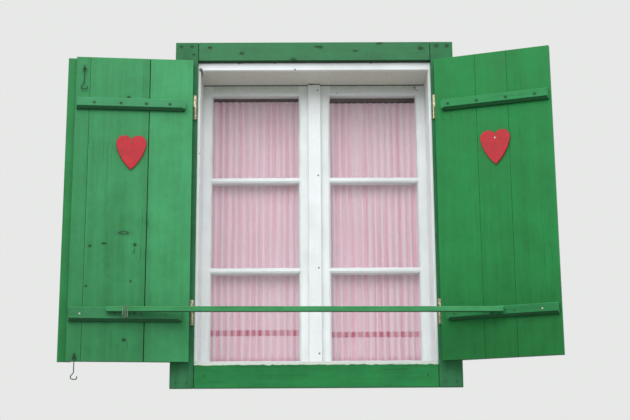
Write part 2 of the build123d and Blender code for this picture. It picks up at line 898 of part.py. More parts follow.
def build_sash(side):
    """Stiles, rails, glazing bars and panes of one sash."""
    bar_tops = [glass_bottom + pane_pitch * i for i in range(1, pane_count)]
    stiles = (
        (sash_meeting_edge, glass_inner, sash_bottom, sash_top),
        (glass_outer, sash_outer_edge, sash_bottom, sash_top),
    )
    rails = (
        (glass_inner, glass_outer, sash_bottom, glass_bottom),
        (glass_inner, glass_outer, glass_top, sash_top),
    )
    bars = [(glass_inner, glass_outer, top - glazing_bar_height, top) for top in bar_tops]
    build_sash_members(side, "stiles", stiles)
    build_sash_members(side, "rails", rails)
    build_sash_members(side, "glazing_bars", bars)
    with BuildPart() as glass:
        with Locations(*pane_centres(side)):
            with Locations((0, (glass_rebate_depth - glass_thickness) / 2, 0)):
                Box(
                    pane_width + 2 * (glass_rebate_width - glass_edge_gap),
                    glass_thickness,
                    pane_height + 2 * (glass_rebate_width - glass_edge_gap),
                )
    save(glass.part, f"{NAME[side]}_sash_glass")


def build_curtain(side, batten_drop):
    """Batten on the back of the top rail, and the gathered curtain tacked on it."""
    name = NAME[side]
    middle = side * (glass_inner + glass_outer) / 2
    batten_bottom = glass_top - batten_drop
    batten_width = pane_width + 2 * batten_side_lap
    with BuildPart() as batten:
        with BuildSketch(Plane.XZ.offset(-sash_back)):
            with Locations((middle, batten_bottom + batten_height / 2)):
                Rectangle(batten_width, batten_height)
        extrude(amount=-batten_thickness)
    save(batten.part, f"{name}_curtain_batten")

    width = pane_width + 2 * curtain_side_lap
    steps = round(width / curtain_fold_pitch) * curtain_steps_per_fold
    near = sash_back + batten_thickness + curtain_gap
    mid_y = near + curtain_fold_depth / 2
    front = [
        (
            middle - width / 2 + width * i / steps,
            mid_y + curtain_fold_depth / 2 * sin(2 * pi * (i + 0.5) / curtain_steps_per_fold),
        )
        for i in range(steps + 1)
    ]
    back = [(x, y + curtain_thickness) for x, y in reversed(front)]
    with BuildPart() as curtain:
        with BuildSketch(Plane.XY.offset(glass_bottom - curtain_below_glass)):
            with BuildLine():
                Polyline(*front, *back, close=True)
            make_face()
        extrude(amount=batten_bottom + batten_height - glass_bottom + curtain_below_glass)
    save(curtain.part, f"{name}_curtain")


# Assembly

LEDGES = {
    LEFT: (
        ("upper", high_z(left_upper_ledge_drop), left_upper_ledge_height, left_upper_last_nail_setback),
        ("lower", low_z(left_lower_ledge_rise), left_lower_ledge_height, left_lower_last_nail_setback),
    ),
    RIGHT: (
        ("upper", high_z(right_upper_ledge_drop), right_ledge_height, right_upper_last_nail_setback),
        ("lower", low_z(right_lower_ledge_rise), right_ledge_height, right_lower_last_nail_setback),
    ),
}
FREE_SETBACK = {LEFT: left_ledge_free_setback, RIGHT: right_ledge_free_setback}
NAIL_REACHES = {LEFT: left_nail_reaches, RIGHT: right_nail_reaches}


def build_shutter(side):
    """Ledges, heart, hinge halves and fixings of one shutter."""
    name = NAME[side]
    for place, centre_z, height, _ in LEDGES[side]:
        build_ledge(side, f"{name}_{place}_ledge", centre_z, height, FREE_SETBACK[side])
    build_heart(side)
    build_hinge_halves(f"{name}_shutter_hinge_halves", shutter_leaves(side))
    fixings = [leaf_screws(*leaf) for leaf in shutter_leaves(side)]
    for _, centre_z, _, last_setback in LEDGES[side]:
        reaches = (*NAIL_REACHES[side], shutter_width - last_setback)
        points = [(reach_x(side, reach), centre_z) for reach in reaches]
        fixings.append(driven_nails(face_plane(side, ledge_offset), points, nail_length))
    heart_nail = (reach_x(side, heart_reach), high_z(heart_tip_drop) + heart_height - heart_nail_drop)
    heart_face = face_plane(side, inner_offset + heart_thickness)
    fixings.append(driven_nails(heart_face, [heart_nail], heart_nail_length))
    save_group(fixings, f"{name}_shutter_fixings")


build_casing()
build_lining()
build_window_frame()
build_frame_nails()
build_frame_screws()
build_turn_button()
shutter_frame_leaves = [leaf for leaf in frame_leaves() if leaf[0] is SHUTTER_HINGE]
sash_frame_leaves = [leaf for leaf in frame_leaves() if leaf[0] is SASH_HINGE]
build_hinge_halves("shutter_hinge_frame_halves", shutter_frame_leaves)
build_hinge_halves("sash_hinge_frame_halves", sash_frame_leaves)

build_boards(LEFT, left_hinge_joint, left_hinge_joint_gap, left_free_joint, tight_joint_gap)
build_boards(RIGHT, right_hinge_joint, tight_joint_gap, right_free_joint, tight_joint_gap)
build_shutter(LEFT)
build_shutter(RIGHT)
build_cover_strip()
build_hook_eyes()
build_hook("upper_cabin_hook", high_z(upper_eye_drop))
build_hook("lower_cabin_hook", low_z(lower_eye_rise))

build_bar()
build_peg(LEFT, left_peg_reach, "left_bar_peg")
build_peg(RIGHT, right_peg_reach, "right_bar_peg")
build_wire_loop()

for sash_side, drop in ((LEFT, left_batten_drop), (RIGHT, right_batten_drop)):
    build_sash(sash_side)
    build_curtain(sash_side, drop)
    sash_name = NAME[sash_side]
    build_hinge_halves(f"{sash_name}_sash_hinge_halves", sash_leaves(sash_side))
    save_group([leaf_screws(*leaf) for leaf in sash_leaves(sash_side)], f"{sash_name}_sash_screws")
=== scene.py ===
"""Looks of the window shutters: paint, cloth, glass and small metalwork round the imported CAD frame."""

import math
import random

import bmesh
import bpy
from mathutils import Matrix, Vector


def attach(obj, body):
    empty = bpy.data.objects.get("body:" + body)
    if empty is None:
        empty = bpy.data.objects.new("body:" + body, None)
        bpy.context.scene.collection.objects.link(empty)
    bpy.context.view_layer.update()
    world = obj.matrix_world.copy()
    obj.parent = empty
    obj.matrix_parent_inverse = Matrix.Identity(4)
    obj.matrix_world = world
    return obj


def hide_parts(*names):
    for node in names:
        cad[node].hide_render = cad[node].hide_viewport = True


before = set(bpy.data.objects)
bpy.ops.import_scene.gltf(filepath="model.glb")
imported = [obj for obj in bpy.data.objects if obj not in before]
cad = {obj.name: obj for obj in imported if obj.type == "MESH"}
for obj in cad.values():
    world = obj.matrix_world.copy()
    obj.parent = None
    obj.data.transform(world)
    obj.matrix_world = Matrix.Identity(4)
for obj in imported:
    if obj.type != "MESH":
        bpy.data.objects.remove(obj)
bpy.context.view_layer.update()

# Sizes of part.py that the dressed pieces need, in metres. ANGLE is how far an open shutter stands off the
# wall. A shutter's faces are measured from its hinge axis, and reaches from its boards' hinge-side edge,
# which is EDGE_REACH from that axis.
LEFT, RIGHT = -1, 1
NAME = {LEFT: "left", RIGHT: "right"}
ANGLE = {LEFT: math.radians(5.7), RIGHT: math.radians(19.4)}
HINGE_X, HINGE_Y = 0.498, -0.028
EDGE_REACH = 0.012
BOARD_FACE, LEDGE_FACE, BOARD_THICKNESS = 0.0275, 0.0525, 0.022


def linked(name, data):
    """New object of the scene with this data."""
    made = bpy.data.objects.new(name, data)
    bpy.context.collection.objects.link(made)
    return made


def from_bmesh(name, mesh):
    """New object of the scene from a finished bmesh."""
    data = bpy.data.meshes.new(name)
    mesh.to_mesh(data)
    mesh.free()
    return linked(name, data)


def face_x(side, reach):
    """Place along a shutter's face in the shutter's own directions."""
    hinge = side * (HINGE_X * math.cos(ANGLE[side]) - HINGE_Y * math.sin(ANGLE[side]))
    return hinge + side * (EDGE_REACH + reach)


# Colours and node trees


def paint(red, green, blue):
    """Linear colour of an sRGB colour given as 0 to 255."""
    def linear(c):
        c /= 255
        return c / 12.92 if c <= 0.04045 else ((c + 0.055) / 1.055) ** 2.4
    return (linear(red), linear(green), linear(blue), 1.0)


class Nodes:
    """Short calls for the nodes of one tree, which starts empty."""

    def __init__(self, owner):
        owner.use_nodes = True
        self.tree = owner.node_tree
        self.tree.nodes.clear()

    def feed(self, socket, value):
        if isinstance(value, bpy.types.NodeSocket):
            self.tree.links.new(value, socket)
        else:
            socket.default_value = value

    def node(self, kind, **settings):
        made = self.tree.nodes.new(kind)
        for key, value in settings.items():
            setattr(made, key, value)
        return made

    def math(self, operation, a, b=0.0, c=0.0, clamp=False):
        made = self.node("ShaderNodeMath", operation=operation, use_clamp=clamp)
        for socket, value in zip(made.inputs, (a, b, c)):
            self.feed(socket, value)
        return made.outputs[0]

    def vector(self, operation, a, b=(0, 0, 0)):
        made = self.node("ShaderNodeVectorMath", operation=operation)
        self.feed(made.inputs[0], a)
        self.feed(made.inputs[1], b)
        return made.outputs["Value" if operation in ("LENGTH", "DISTANCE") else "Vector"]

    def split(self, vector):
        made = self.node("ShaderNodeSeparateXYZ")
        self.feed(made.inputs[0], vector)
        return made.outputs

    def join(self, x, y, z):
        made = self.node("ShaderNodeCombineXYZ")
        for socket, value in zip(made.inputs, (x, y, z)):
            self.feed(socket, value)
        return made.outputs[0]

    def turned(self, vector, angle):
        made = self.node("ShaderNodeMapping")
        self.feed(made.inputs["Vector"], vector)
        made.inputs["Rotation"].default_value = (0, 0, angle)
        return made.outputs[0]

    def noise(self, vector, scale, detail=2.0, roughness=0.5):
        made = self.node("ShaderNodeTexNoise")
        self.feed(made.inputs["Vector"], vector)
        made.inputs["Scale"].default_value = scale
        made.inputs["Detail"].default_value = detail
        made.inputs["Roughness"].default_value = roughness
        return made.outputs[0]

    def cells(self, vector, scale):
        made = self.node("ShaderNodeTexVoronoi", feature="F1")
        self.feed(made.inputs["Vector"], vector)
        made.inputs["Scale"].default_value = scale
        return made.outputs["Distance"]

    def span(self, value, low, high, to_low=0.0, to_high=1.0):
        made = self.node("ShaderNodeMapRange")
        self.feed(made.inputs["Value"], value)
        for key, number in (("From Min", low), ("From Max", high), ("To Min", to_low), ("To Max", to_high)):
            made.inputs[key].default_value = number
        return made.outputs[0]

    def mix(self, factor, a, b, blend="MIX"):
        made = self.node("ShaderNodeMix", data_type="RGBA", blend_type=blend)
        self.feed(made.inputs[0], factor)
        self.feed(made.inputs[6], a)
        self.feed(made.inputs[7], b)
        return made.outputs[2]

    def bump(self, height, distance, strength=1.0):
        made = self.node("ShaderNodeBump")
        self.feed(made.inputs["Height"], height)
        made.inputs["Distance"].default_value = distance
        made.inputs["Strength"].default_value = strength
        return made.outputs[0]

    def upness(self):
        """How far the surface faces up: 1 on a top and -1 on an underside."""
        return self.split(self.node("ShaderNodeNewGeometry").outputs["Normal"])[2]

    def shown(self):
        """1 for the rays that show the background, to the eye or in a gloss or glass, and 0 for its light."""
        ray = self.node("ShaderNodeLightPath").outputs
        return self.math("MAXIMUM", ray["Is Camera Ray"],
                         self.math("MAXIMUM", ray["Is Glossy Ray"], ray["Is Transmission Ray"]))

    def pick(self, factor, shader_a, shader_b):
        made = self.node("ShaderNodeMixShader")
        for socket, value in zip(made.inputs, (factor, shader_a, shader_b)):
            self.feed(socket, value)
        return made.outputs[0]


class Surface(Nodes):
    """A material in the making: a Principled shader whose fixed values are given by name."""

    def __init__(self, name, **fixed):
        self.material = bpy.data.materials.new(name)
        super().__init__(self.material)
        self.shader = self.node("ShaderNodeBsdfPrincipled")
        self.out = self.node("ShaderNodeOutputMaterial")
        self.feed(self.out.inputs[0], self.shader.outputs[0])
        for socket, value in fixed.items():
            self.set(socket.replace("_", " ").title().replace("Ior", "IOR"), value)
        self.position = self.node("ShaderNodeTexCoord").outputs["Object"]

    def set(self, socket, value):
        self.feed(self.shader.inputs[socket], value)


def finish_with(obj, surface):
    """Give an object one material."""
    obj.data.materials.clear()
    obj.data.materials.append(surface.material)


# Paint on wood


def green_set(light, mid, dark, worn):
    """Colours of one coat of green."""
    return {"light": paint(*light), "mid": paint(*mid), "dark": paint(*dark), "worn": paint(*worn),
            "crack": paint(9, 44, 20)}


# The two shutters have one paint: the left set is lighter and the right darker as painted light, for the
# light falling on each. The boards' far side has the one set OUTER_GREENS.
BOARD_GREENS = {
    LEFT: green_set((72, 168, 110), (60, 154, 94), (46, 130, 74), (104, 182, 134)),
    RIGHT: green_set((44, 170, 95), (32, 156, 80), (20, 134, 62), (84, 170, 112)),
}
# The ledges' left and right sets are likewise one paint, lighter and darker as painted light
LEDGE_GREENS = {
    LEFT: green_set((66, 150, 100), (54, 136, 84), (40, 112, 64), (92, 164, 120)),
    RIGHT: green_set((46, 146, 84), (34, 130, 70), (20, 106, 52), (84, 164, 114)),
}
OUTER_GREENS = green_set((58, 168, 102), (46, 154, 86), (34, 132, 66), (94, 176, 124))
POST_GREENS = green_set((51, 126, 80), (36, 108, 62), (22, 82, 44), (96, 154, 118))
HEAD_GREENS = green_set((58, 126, 82), (44, 110, 66), (24, 82, 44), (100, 150, 116))
SILL_GREENS = green_set((34, 136, 70), (22, 120, 58), (12, 94, 42), (200, 212, 196))
BAR_GREENS = green_set((72, 160, 101), (58, 144, 85), (36, 114, 61), (110, 174, 132))
JOINT_SHADE_GREENS = green_set((14, 48, 24), (12, 42, 22), (10, 36, 18), (20, 52, 28))

# Half width up to which a knot or mark is dark all over; the heart of a larger one is lighter
SMALL_KNOT = 0.014


def painted_wood(name, colours, along, seed, turn=0.0, knots=(), wear=1.0, fade=None, joints=(), peel=None,
                 back=None):
    """Old paint over board: streaks along the grain, blotches, specks, hair cracks and knots.

    `turn` is the board's angle round Z, and local places are in its turned directions. `knots` are (local x,
    z, half width, half height), and `joints` lines of painted shade up a board as (local x, half width,
    strength). `fade` is painted shade, the darkening downwards, as (low height, strength there, high height,
    strength there). `peel` is the height above which an edge has lost its paint in places. `back` is (local
    y, colours) of the paint on the far side of a board. Undersides get painted shade as well.
    """
    s = Surface(name, specular_ior_level=0.25)
    local = s.turned(s.position, turn)
    stretch = (1.0, 1.0, 0.045) if along == "Z" else (0.045, 1.0, 1.0)
    grain = s.vector("MULTIPLY", s.vector("ADD", local, (seed * 3.1, seed * 1.7, seed * 2.3)), stretch)
    wander = s.noise(s.vector("ADD", local, (seed, 0, seed)), 3.0, 2.0)
    grain = s.vector("ADD", grain, s.join(s.math("MULTIPLY", wander, 0.03), 0.0, 0.0))

    axes = s.split(local)
    if back:
        middle_y, back_colours = back
        behind = s.span(axes[1], middle_y - 0.002, middle_y + 0.002)
        colours = {**colours, **{key: s.mix(behind, colours[key], back_colours[key])
                                 for key in ("light", "mid", "dark")}}

    broad = s.noise(grain, 9.0, 3.0, 0.55)
    streak = s.noise(grain, 60.0, 4.0, 0.6)
    fibre = s.noise(grain, 330.0, 3.0, 0.6)
    blotch = s.noise(local, 7.0, 5.0, 0.62)
    mottle = s.noise(local, 42.0, 4.0, 0.65)

    tone = s.math("MULTIPLY_ADD", broad, 0.55, s.math("MULTIPLY", blotch, 0.55))
    tone = s.math("MULTIPLY_ADD", streak, 0.35, tone)
    tone = s.math("MULTIPLY_ADD", mottle, 0.18, tone)
    colour = s.mix(s.span(tone, 0.61, 0.97), colours["dark"], colours["light"])
    colour = s.mix(s.span(broad, 0.35, 0.65, 0.1, 0.4), colour, colours["mid"])
    colour = s.mix(s.span(fibre, 0.35, 0.75, 0.0, 0.16), colour, colours["dark"])

    ridge = s.math("ABSOLUTE", s.math("SUBTRACT", s.noise(grain, 26.0, 1.5, 0.4), 0.5))
    patches = s.span(s.noise(local, 5.0, 2.0), 0.58, 0.68)
    crack = s.math("MULTIPLY", s.span(ridge, 0.0, 0.006, 1.0, 0.0), patches)
    speck = s.span(s.cells(local, 46.0), 0.05, 0.1, 1.0, 0.0)
    speck = s.math("MULTIPLY", speck, s.span(s.noise(local, 11.0, 2.0), 0.55, 0.7))
    height = s.math("MULTIPLY_ADD", streak, 0.5, s.math("MULTIPLY", fibre, 0.35))
    height = s.math("SUBTRACT", height, s.math("MULTIPLY", crack, 0.8))
    dark_spots = s.math("MAXIMUM", s.math("MULTIPLY", crack, 0.75 * wear),
                        s.math("MULTIPLY", speck, 0.45 * wear))

    for x, z, half_width, half_height in knots:
        offset = s.join(
            s.math("DIVIDE", s.math("SUBTRACT", axes[0], x), half_width), 0.0,
            s.math("DIVIDE", s.math("SUBTRACT", axes[2], z), half_height),
        )
        far = s.vector("LENGTH", offset)
        far = s.math("MULTIPLY_ADD", s.math("SUBTRACT", mottle, 0.5), 0.9, far)
        body = s.span(far, 0.85, 1.1, 1.0, 0.0)
        core = 0.35 if half_width > SMALL_KNOT else 1.0
        rim = s.math("MULTIPLY", body, s.span(far, 0.3, 0.75, core, 1.0))
        knot = s.math("MAXIMUM", s.math("MULTIPLY", rim, 0.8), s.span(far, 1.0, 2.2, 0.22, 0.0))
        dark_spots = s.math("MAXIMUM", dark_spots, knot)
        height = s.math("SUBTRACT", height, s.math("MULTIPLY", rim, 0.8))

    edge_noise = s.math("MULTIPLY", s.math("SUBTRACT", s.noise(local, 60.0, 3.0), 0.5), 0.0016)
    # Painted shade: dark lines in the joints between boards
    for x, half_width, strength in joints:
        away = s.math("ABSOLUTE", s.math("SUBTRACT", s.math("ADD", axes[0], edge_noise), x))
        line = s.span(away, half_width * 0.6, half_width, strength, 0.0)
        dark_spots = s.math("MAXIMUM", dark_spots, line)
    if peel:
        edge = s.math("MULTIPLY_ADD", s.math("SUBTRACT", s.noise(local, 38.0, 5.0, 0.7), 0.5), 0.016, axes[2])
        colour = s.mix(s.span(edge, peel - 0.0006, peel + 0.0004), colour, colours["worn"])
        rim = s.span(s.math("ABSOLUTE", s.math("SUBTRACT", edge, peel)), 0.0003, 0.0009, 0.7, 0.0)
        dark_spots = s.math("MAXIMUM", dark_spots, rim)
    colour = s.mix(dark_spots, colour, colours["crack"])
    # Painted shade: the paint darker towards the bottom
    if fade:
        low_z, low_strength, high_z, high_strength = fade
        darkening = s.span(axes[2], low_z, high_z, low_strength, high_strength)
        colour = s.mix(darkening, colour, colours["dark"], "MULTIPLY")
    up = s.upness()
    colour = s.mix(s.span(up, 0.5, 0.95, 0.0, 0.45), colour, colours["worn"])
    # Painted shade: undersides darker, in the crack colour
    colour = s.mix(s.span(up, -0.35, -0.9, 0.0, 0.85), colour, colours["crack"])
    s.set("Base Color", colour)
    s.set("Roughness", s.span(s.math("ADD", blotch, streak), 0.7, 1.3, 0.42, 0.62))
    s.set("Normal", s.bump(height, 0.0009))
    return s


# Painted shade in the joints between the boards of a shutter: (reach, half width, strength)
BOARD_JOINTS = {
    LEFT: ((0.178, 0.0026, 0.85), (0.424, 0.0016, 0.5)),
    RIGHT: ((0.174, 0.0014, 0.3), (0.305, 0.0014, 0.35)),
}


def shutter_green(side, index, **more):
    """Paint of one board of a shutter, seen in the shutter's own directions."""
    seed = index * 0.7 + (1.0 if side == LEFT else 6.0)
    joints = [(face_x(side, reach), *rest) for reach, *rest in BOARD_JOINTS[side]]
    hinge_y = HINGE_X * math.sin(ANGLE[side]) + HINGE_Y * math.cos(ANGLE[side])
    middle_y = hinge_y - BOARD_FACE + BOARD_THICKNESS / 2
    return painted_wood(f"{NAME[side]}_green_{index}", BOARD_GREENS[side], "Z", seed, turn=side * ANGLE[side],
                        joints=joints, back=(middle_y, OUTER_GREENS), **more)


def old_white(name, along, seed, dirt_and_shade=None, base=(236, 239, 240), low=(206, 212, 208), shade_line=None, chips=(),
              bare_top=None):
    """Aged white gloss paint with brush lines.

    `dirt_and_shade` is dirt and painted shade, as (axis, clean, dirty, strength, colour): where it starts and
    where it is full along the axis. `shade_line` is the height above which all is painted dark, as painted
    shade in a gap, and `chips` are (x, y, z, radius) of places where the paint has gone. `bare_top` is the
    colour of the wood on a top that is never painted.
    """
    s = Surface(name, specular_ior_level=0.5)
    place = s.vector("ADD", s.position, (seed * 2.1, seed * 1.3, seed * 0.7))
    stretch = {"Z": (1.0, 1.0, 0.06), "X": (0.06, 1.0, 1.0), "Y": (1.0, 0.06, 1.0)}[along]
    grain = s.vector("MULTIPLY", place, stretch)
    brush = s.noise(grain, 190.0, 3.0, 0.6)
    broad = s.noise(place, 5.0, 4.0, 0.6)
    fine = s.noise(place, 70.0, 4.0, 0.7)
    colour = s.mix(s.span(broad, 0.3, 0.62, 0.6, 0.0), paint(*base), paint(*low))
    colour = s.mix(s.span(brush, 0.3, 0.7, 0.14, 0.0), colour, paint(*low))
    chip = s.math("MULTIPLY", s.span(fine, 0.7, 0.74), s.span(broad, 0.5, 0.6))
    colour = s.mix(s.math("MULTIPLY", chip, 0.5), colour, paint(150, 148, 132))
    # Dirt and painted shade: darker along one axis towards the dirty end
    if dirt_and_shade:
        axis, clean, dirty, strength, tint = dirt_and_shade
        grime_and_shade = s.span(s.split(s.position)[axis], clean, dirty, 0.0, strength)
        uneven = s.span(s.math("ADD", broad, fine), 0.7, 1.2, 0.75, 1.15)
        grime_and_shade = s.math("MULTIPLY", grime_and_shade, uneven, clamp=True)
        colour = s.mix(grime_and_shade, colour, paint(*tint))
    for *centre, radius in chips:
        away = s.math("MULTIPLY_ADD", s.math("SUBTRACT", fine, 0.5), radius * 1.2,
                      s.vector("DISTANCE", s.position, tuple(centre)))
        colour = s.mix(s.span(away, radius * 0.75, radius, 0.9, 0.0), colour, paint(40, 36, 28))
    # Painted shade: all above the line is dark, for the shade in the gap over it
    if shade_line:
        ragged = s.math("MULTIPLY_ADD", s.math("SUBTRACT", s.noise(place, 30.0, 4.0, 0.7), 0.5), 0.004,
                        s.split(s.position)[2])
        above = s.span(ragged, shade_line - 0.0004, shade_line + 0.0006, 0.0, 0.85)
        colour = s.mix(above, colour, paint(44, 44, 34))
    if bare_top:
        wood = s.mix(s.span(brush, 0.3, 0.7), paint(*bare_top), paint(*low), "MULTIPLY")
        colour = s.mix(s.span(s.upness(), 0.6, 0.9), colour, wood)
    s.set("Base Color", colour)
    s.set("Roughness", s.span(fine, 0.3, 0.7, 0.32, 0.48))
    height = s.math("MULTIPLY_ADD", fine, 0.5, s.math("MULTIPLY", brush, 0.4))
    s.set("Normal", s.bump(height, 0.0004))
    return s


# Boards and members

# Painted shade, darker towards the bottom, as painted_wood takes it; for the left boards in their order from
# the hinge, darker away from it
LEFT_DOWNWARD_SHADES = {
    "left_hinge_board": (0.1, 0.32, 0.75, 0.13),
    "left_middle_board": (0.1, 0.46, 0.75, 0.27),
    "left_free_board": (0.1, 0.5, 0.75, 0.38),
    "left_cover_strip": (0.1, 0.5, 0.75, 0.38),
}
RIGHT_DOWNWARD_SHADE = (0.1, 0.72, 0.5, 0.5)
LEDGE_DOWNWARD_SHADE = (0.2, 0.22, 0.9, 0.0)

# Knots of the left middle board: (reach, z, half width, half height)
LEFT_KNOTS = ((0.269, 0.5725, 0.024, 0.008), (0.346, 0.5275, 0.010, 0.005), (0.223, 0.5235, 0.007, 0.007),
              (0.263, 1.1495, 0.008, 0.006), (0.256, 0.1365, 0.009, 0.007), (0.236, 0.375, 0.004, 0.005),
              (0.412, 0.352, 0.005, 0.004), (0.402, 0.516, 0.006, 0.005))
left_knots = [(face_x(LEFT, reach), *rest) for reach, *rest in LEFT_KNOTS]
for index, (name, fade) in enumerate(LEFT_DOWNWARD_SHADES.items(), start=1):
    knots = left_knots if name == "left_middle_board" else ()
    finish_with(cad[name], shutter_green(LEFT, index, knots=knots, fade=fade))
for index, place in enumerate(("hinge", "middle", "free"), start=1):
    finish_with(cad[f"right_{place}_board"], shutter_green(RIGHT, index, wear=0.3, fade=RIGHT_DOWNWARD_SHADE))

# Nails of the ledges: height and reaches. Those of the upper ones show as dark marks in the paint.
LEDGE_NAILS = {
    (LEFT, "upper"): (1.1155, (0.094, 0.190, 0.294, 0.403)),
    (LEFT, "lower"): (0.2365, (0.094, 0.190, 0.294, 0.432)),
    (RIGHT, "upper"): (1.1105, (0.060, 0.181, 0.302, 0.420)),
    (RIGHT, "lower"): (0.2315, (0.060, 0.181, 0.302, 0.411)),
}
NAIL_MARK = (0.0062, 0.0052)
for seed, ((side, place), (z, reaches)) in enumerate(LEDGE_NAILS.items(), start=11):
    name = f"{NAME[side]}_{place}_ledge"
    marks = [(face_x(side, reach), z, *NAIL_MARK) for reach in reaches if place == "upper"]
    finish_with(cad[name], painted_wood(f"{name}_green", LEDGE_GREENS[side], "X", seed, side * ANGLE[side],
                                        marks, wear=0.6, fade=LEDGE_DOWNWARD_SHADE))

# Knots and nail marks of the casing: (x, z, half width, half height). The sill board has lost paint above
# SILL_PEEL.
HEAD_MARKS = ((-0.306, 1.364, 0.010, 0.006), (-0.088, 1.336, 0.011, 0.006), (0.012, 1.393, 0.011, 0.005),
              (0.026, 1.391, 0.009, 0.006), (0.276, 1.409, 0.013, 0.007), (0.174, 1.374, 0.011, 0.004),
              (0.451, 1.383, 0.012, 0.007), (-0.440, 1.390, 0.009, 0.006))
LEFT_POST_MARKS = ((-0.561, 1.394, 0.007, 0.006), (-0.516, 1.394, 0.007, 0.006),
                   (-0.508, 1.359, 0.005, 0.005))
RIGHT_POST_MARKS = ((0.517, 1.395, 0.008, 0.007), (0.562, 1.395, 0.008, 0.007))
SILL_PEEL = 0.0425
for piece, name, colours, along, seed, more in (
    ("holding_bar", "bar_green", BAR_GREENS, "X", 21, {}),
    ("casing_left_post", "left_post_green", POST_GREENS, "Z", 31, {"knots": LEFT_POST_MARKS}),
    ("casing_right_post", "right_post_green", POST_GREENS, "Z", 32, {"knots": RIGHT_POST_MARKS}),
    ("casing_head_board", "head_green", HEAD_GREENS, "X", 33, {"knots": HEAD_MARKS}),
    ("casing_sill_board", "sill_green", SILL_GREENS, "X", 34, {"wear": 1.3, "peel": SILL_PEEL}),
):
    finish_with(cad[piece], painted_wood(name, colours, along, seed, **more))

# Dirt and painted shade as old_white takes them: (axis, clean, dirty, strength, colour). The soffit back from
# its front edge and the tops of the linings, stiles, mullion and rails are darker by painted shade under the
# soffit as well as by dirt; the inner sill's front edge by dirt alone.
OLIVE, BARE_WOOD = (120, 128, 94), (166, 148, 120)
SOFFIT_DIRT_AND_SHADE = (1, 0.0, 0.03, 0.55, (176, 171, 142))
INNER_SILL_DIRT = (1, 0.19, 0.0, 0.4, (170, 176, 160))
LINING_DIRT_AND_SHADE = (2, 1.1, 1.32, 0.35, OLIVE)
UPRIGHT_DIRT_AND_SHADE = (2, 1.22, 1.3, 0.3, OLIVE)
RAIL_DIRT_AND_SHADE = (2, 1.24, 1.285, 0.5, OLIVE)

# Heights above which the sashes, the mullion and the head lining's front are painted dark: painted shade in
# the gaps under the head lining and under the casing's head board
SASH_SHADE_LINE, MULLION_SHADE_LINE, SOFFIT_SHADE_LINE = 1.2918, 1.2925, 1.3268

# Chips: (x, y, z, radius); overlapping ones make the crack up in the left corner
HEAD_CHIPS = ((-0.082, 0.0, 1.2985, 0.0045), (-0.318, 0.0, 1.3265, 0.004), (-0.167, 0.0, 1.3285, 0.004),
              (-0.305, 0.09, 1.2965, 0.004), (0.06, 0.10, 1.2965, 0.0035), (0.02, 0.08, 1.2965, 0.003),
              (0.31, 0.05, 1.2965, 0.004), (0.24, 0.0, 1.328, 0.0045))
CORNER_CRACK = tuple((-0.480, y, z, 0.0085) for y, z in (
    (0.0, 1.299), (0.014, 1.2975), (0.028, 1.296), (0.045, 1.294), (0.062, 1.291), (0.08, 1.287),
))
LEFT_CHIPS = ((-0.480, 0.0, 0.93, 0.0035),)
SASH_CHIPS = {
    LEFT: (),
    RIGHT: ((0.437, 0.192, 1.284, 0.004), (0.444, 0.192, 1.287, 0.003), (0.441, 0.192, 1.276, 0.0035),
            (0.449, 0.192, 1.270, 0.003), (0.098, 0.192, 1.258, 0.003), (0.182, 0.192, 1.256, 0.003)),
}
MULLION_CHIPS = ((-0.014, 0.174, 1.2945, 0.006), (-0.004, 0.174, 1.2955, 0.006))
for piece, name, along, seed, more in (
    ("reveal_head_lining", "soffit_white", "Y", 1,
     {"dirt_and_shade": SOFFIT_DIRT_AND_SHADE, "shade_line": SOFFIT_SHADE_LINE, "chips": HEAD_CHIPS + CORNER_CRACK}),
    ("reveal_sill_lining", "inner_sill_white", "X", 2, {"dirt_and_shade": INNER_SILL_DIRT}),
    ("reveal_left_lining", "left_lining_white", "Z", 3,
     {"dirt_and_shade": LINING_DIRT_AND_SHADE, "chips": LEFT_CHIPS + CORNER_CRACK}),
    ("reveal_right_lining", "right_lining_white", "Z", 4, {"dirt_and_shade": LINING_DIRT_AND_SHADE}),
    ("window_mullion", "mullion_white", "Z", 5,
     {"dirt_and_shade": UPRIGHT_DIRT_AND_SHADE, "shade_line": MULLION_SHADE_LINE, "chips": MULLION_CHIPS}),
    ("window_frame_head", "frame_head_white", "X", 6, {"bare_top": BARE_WOOD}),
    ("window_frame_sill", "frame_sill_white", "X", 7, {"bare_top": BARE_WOOD}),
    ("window_frame_left_jamb", "frame_left_jamb_white", "Z", 8, {"bare_top": BARE_WOOD}),
    ("window_frame_right_jamb", "frame_right_jamb_white", "Z", 9, {"bare_top": BARE_WOOD}),
    ("turn_button", "button_white", "Z", 22, {}),
):
    finish_with(cad[piece], old_white(name, along, seed, **more))
for side in (LEFT, RIGHT):
    name = NAME[side]
    more = {"shade_line": SASH_SHADE_LINE, "chips": SASH_CHIPS[side]}
    finish_with(cad[f"{name}_sash_stiles"],
                old_white(f"{name}_stile_white", "Z", 12 + side, UPRIGHT_DIRT_AND_SHADE, **more))
    finish_with(cad[f"{name}_sash_rails"], old_white(f"{name}_rail_white", "X", 15 + side, RAIL_DIRT_AND_SHADE, **more))
    finish_with(cad[f"{name}_sash_glazing_bars"], old_white(f"{name}_bar_white", "X", 18 + side))


# Ledges: the lower arris is planed off broadly

LEDGE_HEIGHTS = {"left_upper_ledge": 0.046, "left_lower_ledge": 0.055, "right_upper_ledge": 0.044,
                 "right_lower_ledge": 0.044}
# The bevel, the chamfer that the solid has in its place, and how near a vertex counts as on a face
BEVEL_RISE, BEVEL_DEPTH, CAD_CHAMFER, NEAR_ENOUGH = 0.0075, 0.0105, 0.003, 0.0004


